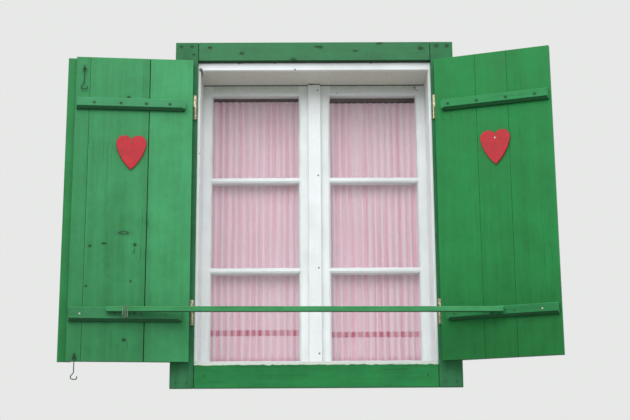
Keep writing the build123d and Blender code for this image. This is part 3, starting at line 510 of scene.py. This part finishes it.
def bevelled_ledge(side, name, z):
    """Copy of a ledge whose lower front arris is cut back."""
    a = ANGLE[side]
    out = Vector((-side * math.sin(a), -math.cos(a), 0))
    hinge = Vector((side * HINGE_X, HINGE_Y, 0))
    bottom = z - LEDGE_HEIGHTS[name] / 2
    mesh = cad[name].data.copy()
    for vert in mesh.vertices:
        depth = (vert.co - hinge).dot(out)
        if vert.co.z < bottom + NEAR_ENOUGH and depth > LEDGE_FACE - CAD_CHAMFER - NEAR_ENOUGH:
            vert.co -= out * BEVEL_DEPTH
        elif vert.co.z < bottom + CAD_CHAMFER + NEAR_ENOUGH and depth > LEDGE_FACE - NEAR_ENOUGH:
            vert.co.z += BEVEL_RISE
    made = linked(f"{name}_bevelled", mesh)
    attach(made, f"{NAME[side]}_shutter")
    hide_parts(name)
    return made


ledges = [bevelled_ledge(side, f"{NAME[side]}_{place}_ledge", z)
          for (side, place), (z, _) in LEDGE_NAILS.items()]

# Dark strips in the joints of the casing boards: painted shade for the gaps between them
JOINT_X, JOINT_Y, JOINT_SIZE = 0.489, -0.0105, (0.0017, 0.014)
JOINT_RUNS = ((-0.047, 0.047), (1.333, 1.412))
joint_mesh = bmesh.new()
for side in (LEFT, RIGHT):
    for z_low, z_high in JOINT_RUNS:
        made = bmesh.ops.create_cube(joint_mesh, size=1.0)["verts"]
        bmesh.ops.scale(joint_mesh, verts=made, vec=(*JOINT_SIZE, z_high - z_low))
        bmesh.ops.translate(joint_mesh, verts=made, vec=(side * JOINT_X, JOINT_Y, (z_low + z_high) / 2))
joint_shade = from_bmesh("casing_joint_shade", joint_mesh)
finish_with(joint_shade, painted_wood("joint_shade", JOINT_SHADE_GREENS, "Z", 44))
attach(joint_shade, "root")


# Hearts


def heart_red(name, seed):
    """Red paint, a little worn."""
    s = Surface(name, specular_ior_level=0.3)
    place = s.vector("ADD", s.position, (seed, seed, seed))
    blotch = s.noise(place, 26.0, 4.0, 0.6)
    fine = s.noise(s.vector("MULTIPLY", place, (1, 1, 0.1)), 160.0, 3.0)
    colour = s.mix(s.span(blotch, 0.32, 0.66), paint(168, 30, 38), paint(190, 36, 48))
    colour = s.mix(s.span(s.noise(place, 60.0, 3.0), 0.6, 0.7, 0.0, 0.5), colour, paint(136, 38, 36))
    colour = s.mix(s.span(fine, 0.4, 0.7, 0.0, 0.12), colour, paint(120, 24, 28))
    s.set("Base Color", colour)
    s.set("Roughness", s.span(blotch, 0.3, 0.7, 0.35, 0.55))
    s.set("Normal", s.bump(s.math("ADD", fine, blotch), 0.0005))
    return s


finish_with(cad["left_heart"], heart_red("left_heart_red", 1.0))
finish_with(cad["right_heart"], heart_red("right_heart_red", 4.0))


# Metal


def metal(name, tint, dark, roughness, seed, metallic=1.0, painted=None):
    """Old metal with stains and a broken sheen; `painted` is (x, colour) where paint covers it left of x."""
    s = Surface(name, metallic=metallic, specular_ior_level=0.5)
    place = s.vector("ADD", s.position, (seed, seed, seed))
    stain = s.noise(place, 120.0, 5.0, 0.65)
    fine = s.noise(place, 700.0, 3.0, 0.6)
    colour = s.mix(s.span(stain, 0.38, 0.66), paint(*tint), paint(*dark))
    if painted:
        edge, cover = painted
        covered = s.span(s.split(s.position)[0], edge - 0.0003, edge + 0.0003, 1.0, 0.0)
        colour = s.mix(covered, colour, paint(*cover))
        s.set("Metallic", s.math("SUBTRACT", 1.0, covered))
    s.set("Base Color", colour)
    s.set("Roughness", s.span(stain, 0.3, 0.7, roughness, roughness + 0.25))
    s.set("Normal", s.bump(s.math("MULTIPLY_ADD", fine, 0.3, stain), 0.0002))
    return s


brass = metal("old_brass", (214, 206, 178), (132, 104, 80), 0.34, 1.0)
green_iron = metal("green_iron", (34, 62, 42), (16, 36, 22), 0.45, 3.0, metallic=0.0)
pale_wire = metal("pale_wire", (128, 156, 130), (60, 84, 62), 0.4, 6.0, metallic=0.0)


def placed_metal(name, rules, rest):
    """Nail heads whose colour goes with their place: `rules` are (low x, high x, low z, high z, colour)."""
    s = Surface(name, metallic=0.0, roughness=0.5, specular_ior_level=0.5)
    stain = s.noise(s.position, 260.0, 4.0, 0.6)
    axes = s.split(s.position)
    colour = paint(*rest)
    for low_x, high_x, low_z, high_z, tint in rules:
        inside = 1.0
        for axis, low, high in ((0, low_x, high_x), (2, low_z, high_z)):
            inside = s.math("MULTIPLY", inside, s.math("GREATER_THAN", axes[axis], low))
            inside = s.math("MULTIPLY", inside, s.math("LESS_THAN", axes[axis], high))
        colour = s.mix(inside, colour, paint(*tint))
    s.set("Base Color", s.mix(s.span(stain, 0.45, 0.7, 0.0, 0.6), colour, paint(58, 36, 26)))
    s.set("Normal", s.bump(stain, 0.0002))
    return s


DARK_GREEN, BRIGHT, BROWN, HEART_RED = (22, 54, 32), (206, 200, 190), (104, 80, 62), (150, 40, 44)
# The left hinges' leaves are painted over left of this x
LEAF_PAINT_EDGE, LEAF_PAINT = -0.5045, (34, 104, 58)
NAIL_COLOURS = {
    "frame_nails": [(-0.1, 0.1, 0.05, 1.31, BROWN)],
    "left_shutter_fixings": [(-1.0, -0.5, 0.9, 1.0, HEART_RED), (-1.0, -0.92, 0.2, 0.27, BRIGHT)],
    "right_shutter_fixings": [(0.5, 1.0, 0.9, 1.0, BRIGHT), (0.84, 1.0, 0.2, 0.27, BRIGHT)],
}
for name, rules in NAIL_COLOURS.items():
    finish_with(cad[name], placed_metal(f"{name}_iron", rules, DARK_GREEN))
for name in ("frame_screws", "left_sash_screws", "right_sash_screws"):
    finish_with(cad[name], metal(f"{name}_steel", (150, 146, 134), (96, 86, 70), 0.4, 2.0))
for name in ("left_bar_peg", "right_bar_peg"):
    finish_with(cad[name], metal(f"{name}_iron", (40, 70, 48), (20, 40, 26), 0.5, 5.0, metallic=0.0))
for name, tint in (
    ("shutter_hinge_frame_halves", (226, 218, 192)), ("left_shutter_hinge_halves", (214, 206, 178)),
):
    finish_with(cad[name], metal(f"{name}_brass", tint, (136, 108, 84), 0.34, 1.5,
                                 painted=(LEAF_PAINT_EDGE, LEAF_PAINT)))
for name in ("sash_hinge_frame_halves", "right_shutter_hinge_halves", "left_sash_hinge_halves",
             "right_sash_hinge_halves"):
    finish_with(cad[name], brass)


# Glass


def window_glass(name):
    """Thin clear pane with a faint film of dust; light passes straight through."""
    s = Surface(name, roughness=0.04, ior=1.5, specular_ior_level=0.16)
    dust = s.noise(s.position, 9.0, 5.0, 0.65)
    s.set("Base Color", s.mix(s.span(dust, 0.3, 0.7), paint(170, 180, 176), paint(196, 204, 202)))
    s.set("Alpha", s.span(dust, 0.3, 0.7, 0.04, 0.09))
    return s


glass = window_glass("pane_glass")
for side in (LEFT, RIGHT):
    finish_with(cad[f"{NAME[side]}_sash_glass"], glass)


# Putty

# Sight size of a sash, its glazing bars and the rebate that the putty fills
SIGHT_INNER, SIGHT_OUTER, SIGHT_LOW, SIGHT_HIGH = 0.068, 0.440, 0.0895, 1.2485
GLAZING_BAR, PANE_COUNT, REBATE = 0.026, 3, 0.009
# The putty's front and back, the fall of its slope, and the share of the rebate where the slope steepens
PUTTY_FRONT, PUTTY_BACK, PUTTY_FALL, PUTTY_WAIST = 0.1924, 0.2023, 0.0026, 0.66
# How far its outer edge is set back, its steps along a side, and how near a point counts as on a side
PUTTY_SET, PUTTY_STEPS, ON_SIDE = 0.0004, 14, 1e-5


def putty_beads(side, seed):
    """Hand-struck fillets of putty round the three panes of one sash, sloping from the wood to the glass."""
    rng = random.Random(seed)
    mesh = bmesh.new()
    pane = (SIGHT_HIGH - SIGHT_LOW - (PANE_COUNT - 1) * GLAZING_BAR) / PANE_COUNT
    x_low, x_high = sorted((side * SIGHT_INNER, side * SIGHT_OUTER))
    for i in range(PANE_COUNT):
        z_low = SIGHT_LOW + i * (pane + GLAZING_BAR)
        corners = [(x_low, z_low), (x_high, z_low), (x_high, z_low + pane), (x_low, z_low + pane)]
        middle = Vector(((x_low + x_high) / 2, z_low + pane / 2))
        loops = []
        for (ax, az), (bx, bz) in zip(corners, corners[1:] + corners[:1]):
            for j in range(PUTTY_STEPS):
                f = j / PUTTY_STEPS
                x, z = ax + (bx - ax) * f, az + (bz - az) * f
                out_x, out_z = (
                    math.copysign(1, place) if abs(place) > half - ON_SIDE else 0
                    for place, half in ((x - middle.x, (x_high - x_low) / 2), (z - middle.y, pane / 2))
                )
                slip = rng.uniform(-0.0006, 0.0008) if j else 0.0
                rise = rng.uniform(-0.0003, 0.0005)
                outer = (x + out_x * (REBATE - 0.0001), z + out_z * (REBATE - 0.0001))
                inner = (x - out_x * slip, z - out_z * slip)
                waist = [o + (i - o) * PUTTY_WAIST for o, i in zip(outer, inner)]
                loops.append([
                    mesh.verts.new((outer[0], PUTTY_FRONT + PUTTY_SET + rise, outer[1])),
                    mesh.verts.new((waist[0], PUTTY_FRONT + PUTTY_FALL - rise, waist[1])),
                    mesh.verts.new((inner[0], PUTTY_BACK, inner[1])),
                    mesh.verts.new((outer[0], PUTTY_BACK, outer[1])),
                ])
        for one, two in zip(loops, loops[1:] + loops[:1]):
            for k in range(4):
                mesh.faces.new((one[k], two[k], two[(k + 1) % 4], one[(k + 1) % 4]))
    bmesh.ops.recalc_face_normals(mesh, faces=mesh.faces)
    return from_bmesh(f"{NAME[side]}_putty", mesh)


putty_white = old_white("putty_white", "X", 30, base=(226, 230, 230), low=(186, 192, 188))
for side in (LEFT, RIGHT):
    putty = putty_beads(side, 40 + side)
    finish_with(putty, putty_white)
    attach(putty, f"{NAME[side]}_sash")


# Hooks, eyes and the wire round the bar


def on_shutter(side, reach, z, offset):
    """Point over a shutter's face: along it from the hinge-side edge, up, and out from the hinge axis."""
    a = ANGLE[side]
    along = Vector((math.cos(a), -side * math.sin(a), 0))
    out = Vector((-side * math.sin(a), -math.cos(a), 0))
    return Vector((side * HINGE_X, HINGE_Y, z)) + along * (side * (EDGE_REACH + reach)) + out * offset


def rounded(points, cut, steps=6):
    """Run of points with each corner taken in a smooth bend, which keeps to its half of each side."""
    path = [points[0]]
    for before, corner, after in zip(points, points[1:], points[2:]):
        start, stop = (corner + way.normalized() * min(cut, way.length * 0.49)
                       for way in (before - corner, after - corner))
        for i in range(steps + 1):
            t = i / steps
            path.append(start * (1 - t) ** 2 + corner * 2 * t * (1 - t) + stop * t ** 2)
    return path + [points[-1]]


def ring(centre, u, v, radius, steps=28):
    """Points round a circle."""
    return [centre + (u * math.cos(2 * math.pi * i / steps) + v * math.sin(2 * math.pi * i / steps)) * radius
            for i in range(steps)]


def wire(name, runs, radius, surface):
    """Round wire along runs of points; a run that is marked closed joins up."""
    data = bpy.data.curves.new(name, "CURVE")
    data.dimensions = "3D"
    data.bevel_depth = radius
    data.bevel_resolution = 3
    data.use_fill_caps = True
    for points, closed in runs:
        spline = data.splines.new("POLY")
        spline.points.add(len(points) - 1)
        for target, point in zip(spline.points, points):
            target.co = (*point, 1.0)
        spline.use_cyclic_u = closed
        spline.use_smooth = True
    made = linked(name, data)
    finish_with(made, surface)
    return made


UP = Vector((0, 0, 1))
HOOK_REACH, EYE_RADIUS, EYE_WIRE, HOOK_WIRE = 0.448, 0.008, 0.0022, 0.0020
EYE_HEIGHTS = {"upper": 1.2725, "lower": 0.0735}
EYE_OFFSET, EYE_FOOT = BOARD_FACE + EYE_RADIUS + EYE_WIRE, BOARD_FACE - 0.002
RING_DROP, RING_RADIUS, HOOK_BEND = 0.010, 0.0065, 0.007
# The hook's rod from its ring to its tip: (across, below the eye)
HOOK_RUN = ((0, 0.0165), (0, 0.071), (-0.013, 0.083), (-0.0087, 0.095), (0.013, 0.095), (0.013, 0.083))
across = on_shutter(LEFT, 0, 0, 0) - on_shutter(LEFT, 1, 0, 0)
outward = on_shutter(LEFT, 0, 0, 1) - on_shutter(LEFT, 0, 0, 0)
eye_runs = []
for place, eye_z in EYE_HEIGHTS.items():
    centre = on_shutter(LEFT, HOOK_REACH, eye_z, EYE_OFFSET)
    eye_runs.append((ring(centre, outward, UP, EYE_RADIUS), True))
    eye_runs.append(([on_shutter(LEFT, HOOK_REACH, eye_z, EYE_FOOT), centre - outward * EYE_RADIUS], False))
    hook_ring = ring(on_shutter(LEFT, HOOK_REACH, eye_z - RING_DROP, EYE_OFFSET), across, UP, RING_RADIUS)
    rod = [on_shutter(LEFT, HOOK_REACH, eye_z - below, EYE_OFFSET) + across * x for x, below in HOOK_RUN]
    hook_runs = [(hook_ring, True), (rounded(rod, HOOK_BEND), False)]
    hook = wire(f"{place}_hook_wire", hook_runs, HOOK_WIRE, green_iron)
    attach(hook, f"{place}_hook")
    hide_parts(f"{place}_cabin_hook")
eyes = wire("screw_eyes_wire", eye_runs, EYE_WIRE, green_iron)
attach(eyes, "left_shutter")
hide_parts("left_hook_eyes")

# Where the bar's back rests on the lower ledges: (side, reach, z); then half the bar's depth, and the wire
BAR_ENDS, BAR_HALF, BAR_WIRE = ((LEFT, 0.324, 0.2535), (RIGHT, 0.2555, 0.2365)), 0.0103, 0.0014
# The wire's corners as it goes round the bar, (back, up) from the bar's middle; the low ones hang slack
TURN_CORNERS = ((-0.0118, -0.036), (-0.0118, 0.0122), (0.0117, 0.0122), (0.0117, -0.036))
TURN_SLACK, TURN_BEND = 0.004, 0.003
WIRE_START, WIRE_SPREAD, WIRE_CORNERS = 0.064, 0.022, 14
bar_ends = [on_shutter(side, reach, z, LEDGE_FACE) for side, reach, z in BAR_ENDS]
bar_along = (bar_ends[1] - bar_ends[0]).normalized()
bar_back = UP.cross(bar_along).normalized()
bar_up = bar_along.cross(bar_back)
bar_start = bar_ends[0] - bar_back * BAR_HALF
rng = random.Random(5)
turns = []
for i in range(WIRE_CORNERS):
    back, up = TURN_CORNERS[i % 4]
    if up < 0:
        up -= rng.uniform(-TURN_SLACK, 0.0)
    reach = WIRE_START + WIRE_SPREAD * i / (WIRE_CORNERS - 1)
    turns.append(bar_start + bar_along * reach + bar_back * back + bar_up * up)
loop = wire("bar_wire_turns", [(rounded(turns, TURN_BEND), False)], BAR_WIRE, pale_wire)
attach(loop, "holding_bar")
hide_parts("wire_loop")


# Curtains

# The room side of the sashes and the cloth's distance from it, its width as it hangs, how far it reaches
# below the glass, and the steps of its mesh
SASH_BACK, CLOTH_GAP = 0.2315, 0.0085
CLOTH_WIDTH, CLOTH_BELOW, CLOTH_COLUMNS, CLOTH_ROWS = 0.385, 0.021, 336, 64
# Folds, stripes and weave; the two warps are in radians per metre
FOLD_PITCH, FOLD_DEPTH = 0.0277, 0.0040
STRIPE_PITCH, WEFT_PITCH, WARP_DOTS, WARP_FINE = FOLD_PITCH * 1.19, 0.0064, 1100.0, 2200.0


def curtain_cloth(name, band, heading, seed):
    """Cotton with woven pink stripes, a darker band low down, a redder hem and a dark heading tape.

    `band` is the band's low and high edge and `heading` the height above which the tape runs. The cloth's UV
    map is its width along the folds and its height, in metres.
    """
    s = Surface(name, roughness=0.85, sheen_weight=0.25, sheen_roughness=0.5, specular_ior_level=0.2)
    axes = s.split(s.node("ShaderNodeUVMap", uv_map="cloth").outputs[0])
    across, up = axes[0], axes[1]

    def drift(across_scale, up_scale, shift):
        """Slow noise over the cloth."""
        place = s.join(s.math("MULTIPLY", across, across_scale), s.math("MULTIPLY", up, up_scale), shift)
        return s.noise(place, 1.0, 3.0)

    waver = drift(9.0, 1.6, seed)
    shifted = s.math("ADD", across, s.math("MULTIPLY", s.math("SUBTRACT", waver, 0.5), 0.022))
    phase = s.math("MULTIPLY", shifted, 2 * math.pi / STRIPE_PITCH)
    stripe = s.span(s.math("SINE", phase), -0.9, 0.5)
    fine = s.math("SINE", s.math("MULTIPLY", shifted, 2 * math.pi / (STRIPE_PITCH / 4)))
    stripe = s.math("MULTIPLY", stripe, s.math("MULTIPLY_ADD", fine, 0.22, 0.78))
    uneven = drift(26.0, 1.3, seed + 4.0)
    stripe = s.math("MULTIPLY", stripe, s.span(uneven, 0.28, 0.68, 0.3, 1.1))
    pale, pink, deep = paint(228, 203, 212), paint(226, 158, 180), paint(182, 70, 104)
    colour = s.mix(stripe, pale, pink)
    grey = s.span(s.math("SINE", s.math("ADD", phase, 2.2)), 0.8, 1.0, 0.0, 0.4)
    colour = s.mix(s.math("MULTIPLY", grey, s.span(uneven, 0.4, 0.6)), colour, paint(170, 140, 150))
    weft = s.math("SINE", s.math("MULTIPLY", up, 2 * math.pi / WEFT_PITCH))
    warp = s.math("SINE", s.math("MULTIPLY", shifted, WARP_DOTS))
    dots = s.math("MULTIPLY", s.span(weft, 0.2, 0.9), s.span(warp, 0.0, 0.9))
    colour = s.mix(s.math("MULTIPLY", dots, 0.35), colour, paint(238, 226, 230))
    low, high = band
    edge = 0.0015
    in_band = s.math("MULTIPLY", s.span(up, low - edge, low + edge),
                     s.span(up, high - edge, high + edge, 1.0, 0.0))
    banded = s.mix(s.span(stripe, 0.1, 0.7), paint(216, 170, 183), deep)
    colour = s.mix(in_band, colour, banded)
    hem = s.span(s.math("ADD", up, s.math("MULTIPLY", uneven, 0.07)), 0.152, 0.118)
    colour = s.mix(s.math("MULTIPLY", hem, 0.6), colour, paint(192, 106, 136))
    # Painted shade and painted reflection: the cloth greyer towards the top
    shade = s.span(up, 1.02, 1.25, 0.0, 0.14)
    colour = s.mix(shade, colour, paint(150, 136, 142))
    colour = s.mix(s.span(up, heading - 0.0008, heading + 0.0008), colour, paint(60, 32, 30))
    s.set("Base Color", colour)
    weave = s.math("ADD", weft, s.math("SINE", s.math("MULTIPLY", shifted, WARP_FINE)))
    s.set("Normal", s.bump(weave, 0.00012, 0.6))
    return s


def gathered_curtain(side, top, seed):
    """One sheet in soft folds, pinched along its batten and easing out downwards, and its flat size."""
    rng = random.Random(seed)
    bottom = SIGHT_LOW - CLOTH_BELOW
    x_low = side * (SIGHT_INNER + SIGHT_OUTER) / 2 - CLOTH_WIDTH / 2
    columns, rows = CLOTH_COLUMNS, CLOTH_ROWS
    folds = round(CLOTH_WIDTH / FOLD_PITCH)
    near = SASH_BACK + CLOTH_GAP
    phases = [rng.uniform(-0.5, 0.5) for _ in range(folds + 2)]
    depths = [rng.uniform(0.72, 1.0) for _ in range(folds + 2)]
    leans = [rng.uniform(-0.6, 0.6) for _ in range(folds + 2)]

    def between(values, t):
        i = min(int(t), len(values) - 2)
        f = t - i
        f = f * f * (3 - 2 * f)
        return values[i] * (1 - f) + values[i + 1] * f

    def place(u, v):
        """Point at share u across and v up the curtain."""
        t = u * folds
        ease = 1 - v
        shift = between(phases, t) * 0.55 * ease + between(leans, t) * 0.5 * math.sin(math.pi * v)
        depth = between(depths, t) * (0.9 + 0.1 * math.sin(5 * v + t))
        wave = math.sin(2 * math.pi * t + shift)
        wave += 0.14 * math.sin(4 * math.pi * t + 2 * shift + 1.0) * ease
        y = near + 1.2 * FOLD_DEPTH + FOLD_DEPTH * depth * wave
        x = x_low + CLOTH_WIDTH * u + 0.0011 * math.sin(2 * math.pi * t + shift + 1.2) * ease
        return Vector((x, y, bottom + (top - bottom) * v))

    mesh = bpy.data.meshes.new(f"{NAME[side]}_gathered_curtain")
    verts, along = [], []
    for r in range(rows + 1):
        v = r / rows
        row = [place(c / columns, v) for c in range(columns + 1)]
        verts += row
        run = [0.0]
        for a, b in zip(row, row[1:]):
            run.append(run[-1] + math.hypot(b.x - a.x, b.y - a.y))
        along.append(run)
    faces = []
    stride = columns + 1
    for r in range(rows):
        for c in range(columns):
            a = r * stride + c
            faces.append((a, a + 1, a + 1 + stride, a + stride))
    mesh.from_pydata([tuple(p) for p in verts], [], faces)
    layer = mesh.uv_layers.new(name="cloth")
    for loop in mesh.loops:
        r, c = divmod(loop.vertex_index, stride)
        even = along[rows // 2][-1] / along[r][-1]
        layer.data[loop.index].uv = (along[r][c] * even, verts[loop.vertex_index].z)
    for p in mesh.polygons:
        p.use_smooth = True
    curtain = linked(f"{NAME[side]}_gathered_curtain", mesh)
    flat_width = sum(run[-1] for run in along) / len(along)
    return curtain, (round(flat_width, 4), round(top - bottom, 4))


# Top of each curtain over the sight size, the low and high edge of its darker band, and its seed
CURTAINS = {
    LEFT: (0.019, (0.2015, 0.2265), 3),
    RIGHT: (0.012, (0.1935, 0.2175), 8),
}
HEADING_HEIGHT = 0.0305
for side, (rise, band, seed) in CURTAINS.items():
    name, top = NAME[side], SIGHT_HIGH + rise
    curtain, flat = gathered_curtain(side, top, seed)
    finish_with(curtain, curtain_cloth(f"{name}_cloth", band, top - HEADING_HEIGHT, float(seed)))
    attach(curtain, f"{name}_sash")
    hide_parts(f"{name}_curtain")


def stained_wood(name, seed):
    """Dark red stained batten."""
    s = Surface(name, roughness=0.5)
    place = s.vector("MULTIPLY", s.vector("ADD", s.position, (seed, 0, 0)), (0.05, 1, 1))
    grain = s.noise(place, 160.0, 4.0, 0.6)
    s.set("Base Color", s.mix(s.span(grain, 0.3, 0.7), paint(58, 30, 26), paint(84, 44, 40)))
    s.set("Normal", s.bump(grain, 0.0004))
    return s


for side in (LEFT, RIGHT):
    finish_with(cad[f"{NAME[side]}_curtain_batten"], stained_wood(f"{NAME[side]}_batten_red", side))


# Soft arrises on the boards


def soften(obj, width):
    """Round the arrises of a piece a little."""
    bevel = obj.modifiers.new("soft_arris", "BEVEL")
    bevel.width = width
    bevel.segments = 2
    bevel.limit_method = "ANGLE"
    bevel.angle_limit = math.radians(25)


for name, width in (
    [(n, 0.0012) for n in cad if n.endswith("_board") or n.endswith("_post")]
    + [(n, 0.0010) for n in cad if any(k in n for k in ("lining", "mullion", "sash_stiles", "sash_rails"))]
    + [(n, 0.0004) for n in cad if "hinge" in n and "board" not in n or "nails" in n or "fixings" in n]
    + [(n, 0.0008) for n in ("left_sash_glazing_bars", "right_sash_glazing_bars", "holding_bar", "left_heart",
                             "right_heart", "left_cover_strip")]
):
    soften(cad[name], width)
for ledge in ledges:
    soften(ledge, 0.0014)


# Stage

FLOOR_REACH, FLOOR_LEVEL = 14, -1.1
FLOOR_LIT, FLOOR_SHOWN = (0.36, 0.36, 0.35, 1.0), (0.50, 0.50, 0.495, 1.0)
SKY_LIGHT, SKY_SHOWN = (0.96, 0.98, 1.0, 1.0), (0.80, 0.81, 0.80, 1.0)
# The sky's strength as it rises from the horizon: low and high direction, strength there
SKY_RISE = (-0.05, 0.7, 0.50, 1.65)


def pale_floor():
    """Pale for the eye, duller for the light that it throws back up, and clear from below."""
    s = Surface("pale_floor", roughness=0.9, specular_ior_level=0.1)
    s.set("Base Color", s.mix(s.shown(), FLOOR_LIT, FLOOR_SHOWN))
    below = s.node("ShaderNodeNewGeometry").outputs["Backfacing"]
    clear = s.node("ShaderNodeBsdfTransparent").outputs[0]
    s.feed(s.out.inputs[0], s.pick(below, s.shader.outputs[0], clear))
    return s


def studio_sky():
    """World that lights from above more than from the sides, and shows one pale colour."""
    world = bpy.data.worlds.new("studio")
    bpy.context.scene.world = world
    n = Nodes(world)
    height = n.split(n.node("ShaderNodeTexCoord").outputs["Generated"])[2]
    light, seen = n.node("ShaderNodeBackground"), n.node("ShaderNodeBackground")
    light.inputs["Color"].default_value = SKY_LIGHT
    seen.inputs["Color"].default_value = SKY_SHOWN
    n.feed(light.inputs["Strength"], n.span(height, *SKY_RISE))
    final = n.node("ShaderNodeOutputWorld")
    n.feed(final.inputs[0], n.pick(n.shown(), light.outputs[0], seen.outputs[0]))


def soft_lamp(name, place, target, size, watts, tint):
    """Area lamp at a place, turned to a target."""
    data = bpy.data.lights.new(name, "AREA")
    data.shape = "RECTANGLE"
    data.size, data.size_y = size
    data.energy = watts
    data.color = tint
    lamp = linked(name, data)
    lamp.location = place
    lamp.rotation_euler = (Vector(target) - Vector(place)).to_track_quat("-Z", "Y").to_euler()


floor_mesh = bpy.data.meshes.new("floor")
floor_mesh.from_pydata([
    (x * FLOOR_REACH, y * FLOOR_REACH, FLOOR_LEVEL) for x, y in ((-1, -1), (1, -1), (1, 1), (-1, 1))
], [], [(0, 1, 2, 3)])
floor = linked("floor", floor_mesh)
finish_with(floor, pale_floor())
studio_sky()
soft_lamp("sky_lamp", place=(-0.8, -3.6, 3.6), target=(0, 0, 0.7), size=(5.0, 3.0), watts=110,
          tint=(0.97, 0.99, 1.0))


# Camera: fitted to the photograph's straight edges; angles in degrees, the focal length in pixels

CAMERA_PLACE, CAMERA_YAW, CAMERA_PITCH, CAMERA_ROLL = (-0.044, -5.457, -0.7015), -0.45, 14.26, -0.37
SENSOR_WIDTH, FOCAL_PIXELS, IMAGE_WIDTH = 36.0, 1366, 630
yaw, pitch, roll = math.radians(CAMERA_YAW), math.radians(CAMERA_PITCH), math.radians(CAMERA_ROLL)
forward = Vector((-math.sin(yaw) * math.cos(pitch), math.cos(yaw) * math.cos(pitch), math.sin(pitch)))
level = Vector((math.cos(yaw), math.sin(yaw), 0))
upward = level.cross(forward)
side_axis = level * math.cos(roll) + upward * math.sin(roll)
up_axis = upward * math.cos(roll) - level * math.sin(roll)
camera = linked("camera", bpy.data.cameras.new("camera"))
camera.matrix_world = Matrix([
    (side_axis[i], up_axis[i], -forward[i], CAMERA_PLACE[i]) for i in range(3)
] + [(0, 0, 0, 1)])
camera.data.sensor_width = SENSOR_WIDTH
camera.data.lens = FOCAL_PIXELS / IMAGE_WIDTH * SENSOR_WIDTH
bpy.context.scene.camera = camera
bpy.context.scene.view_settings.view_transform = "Standard"
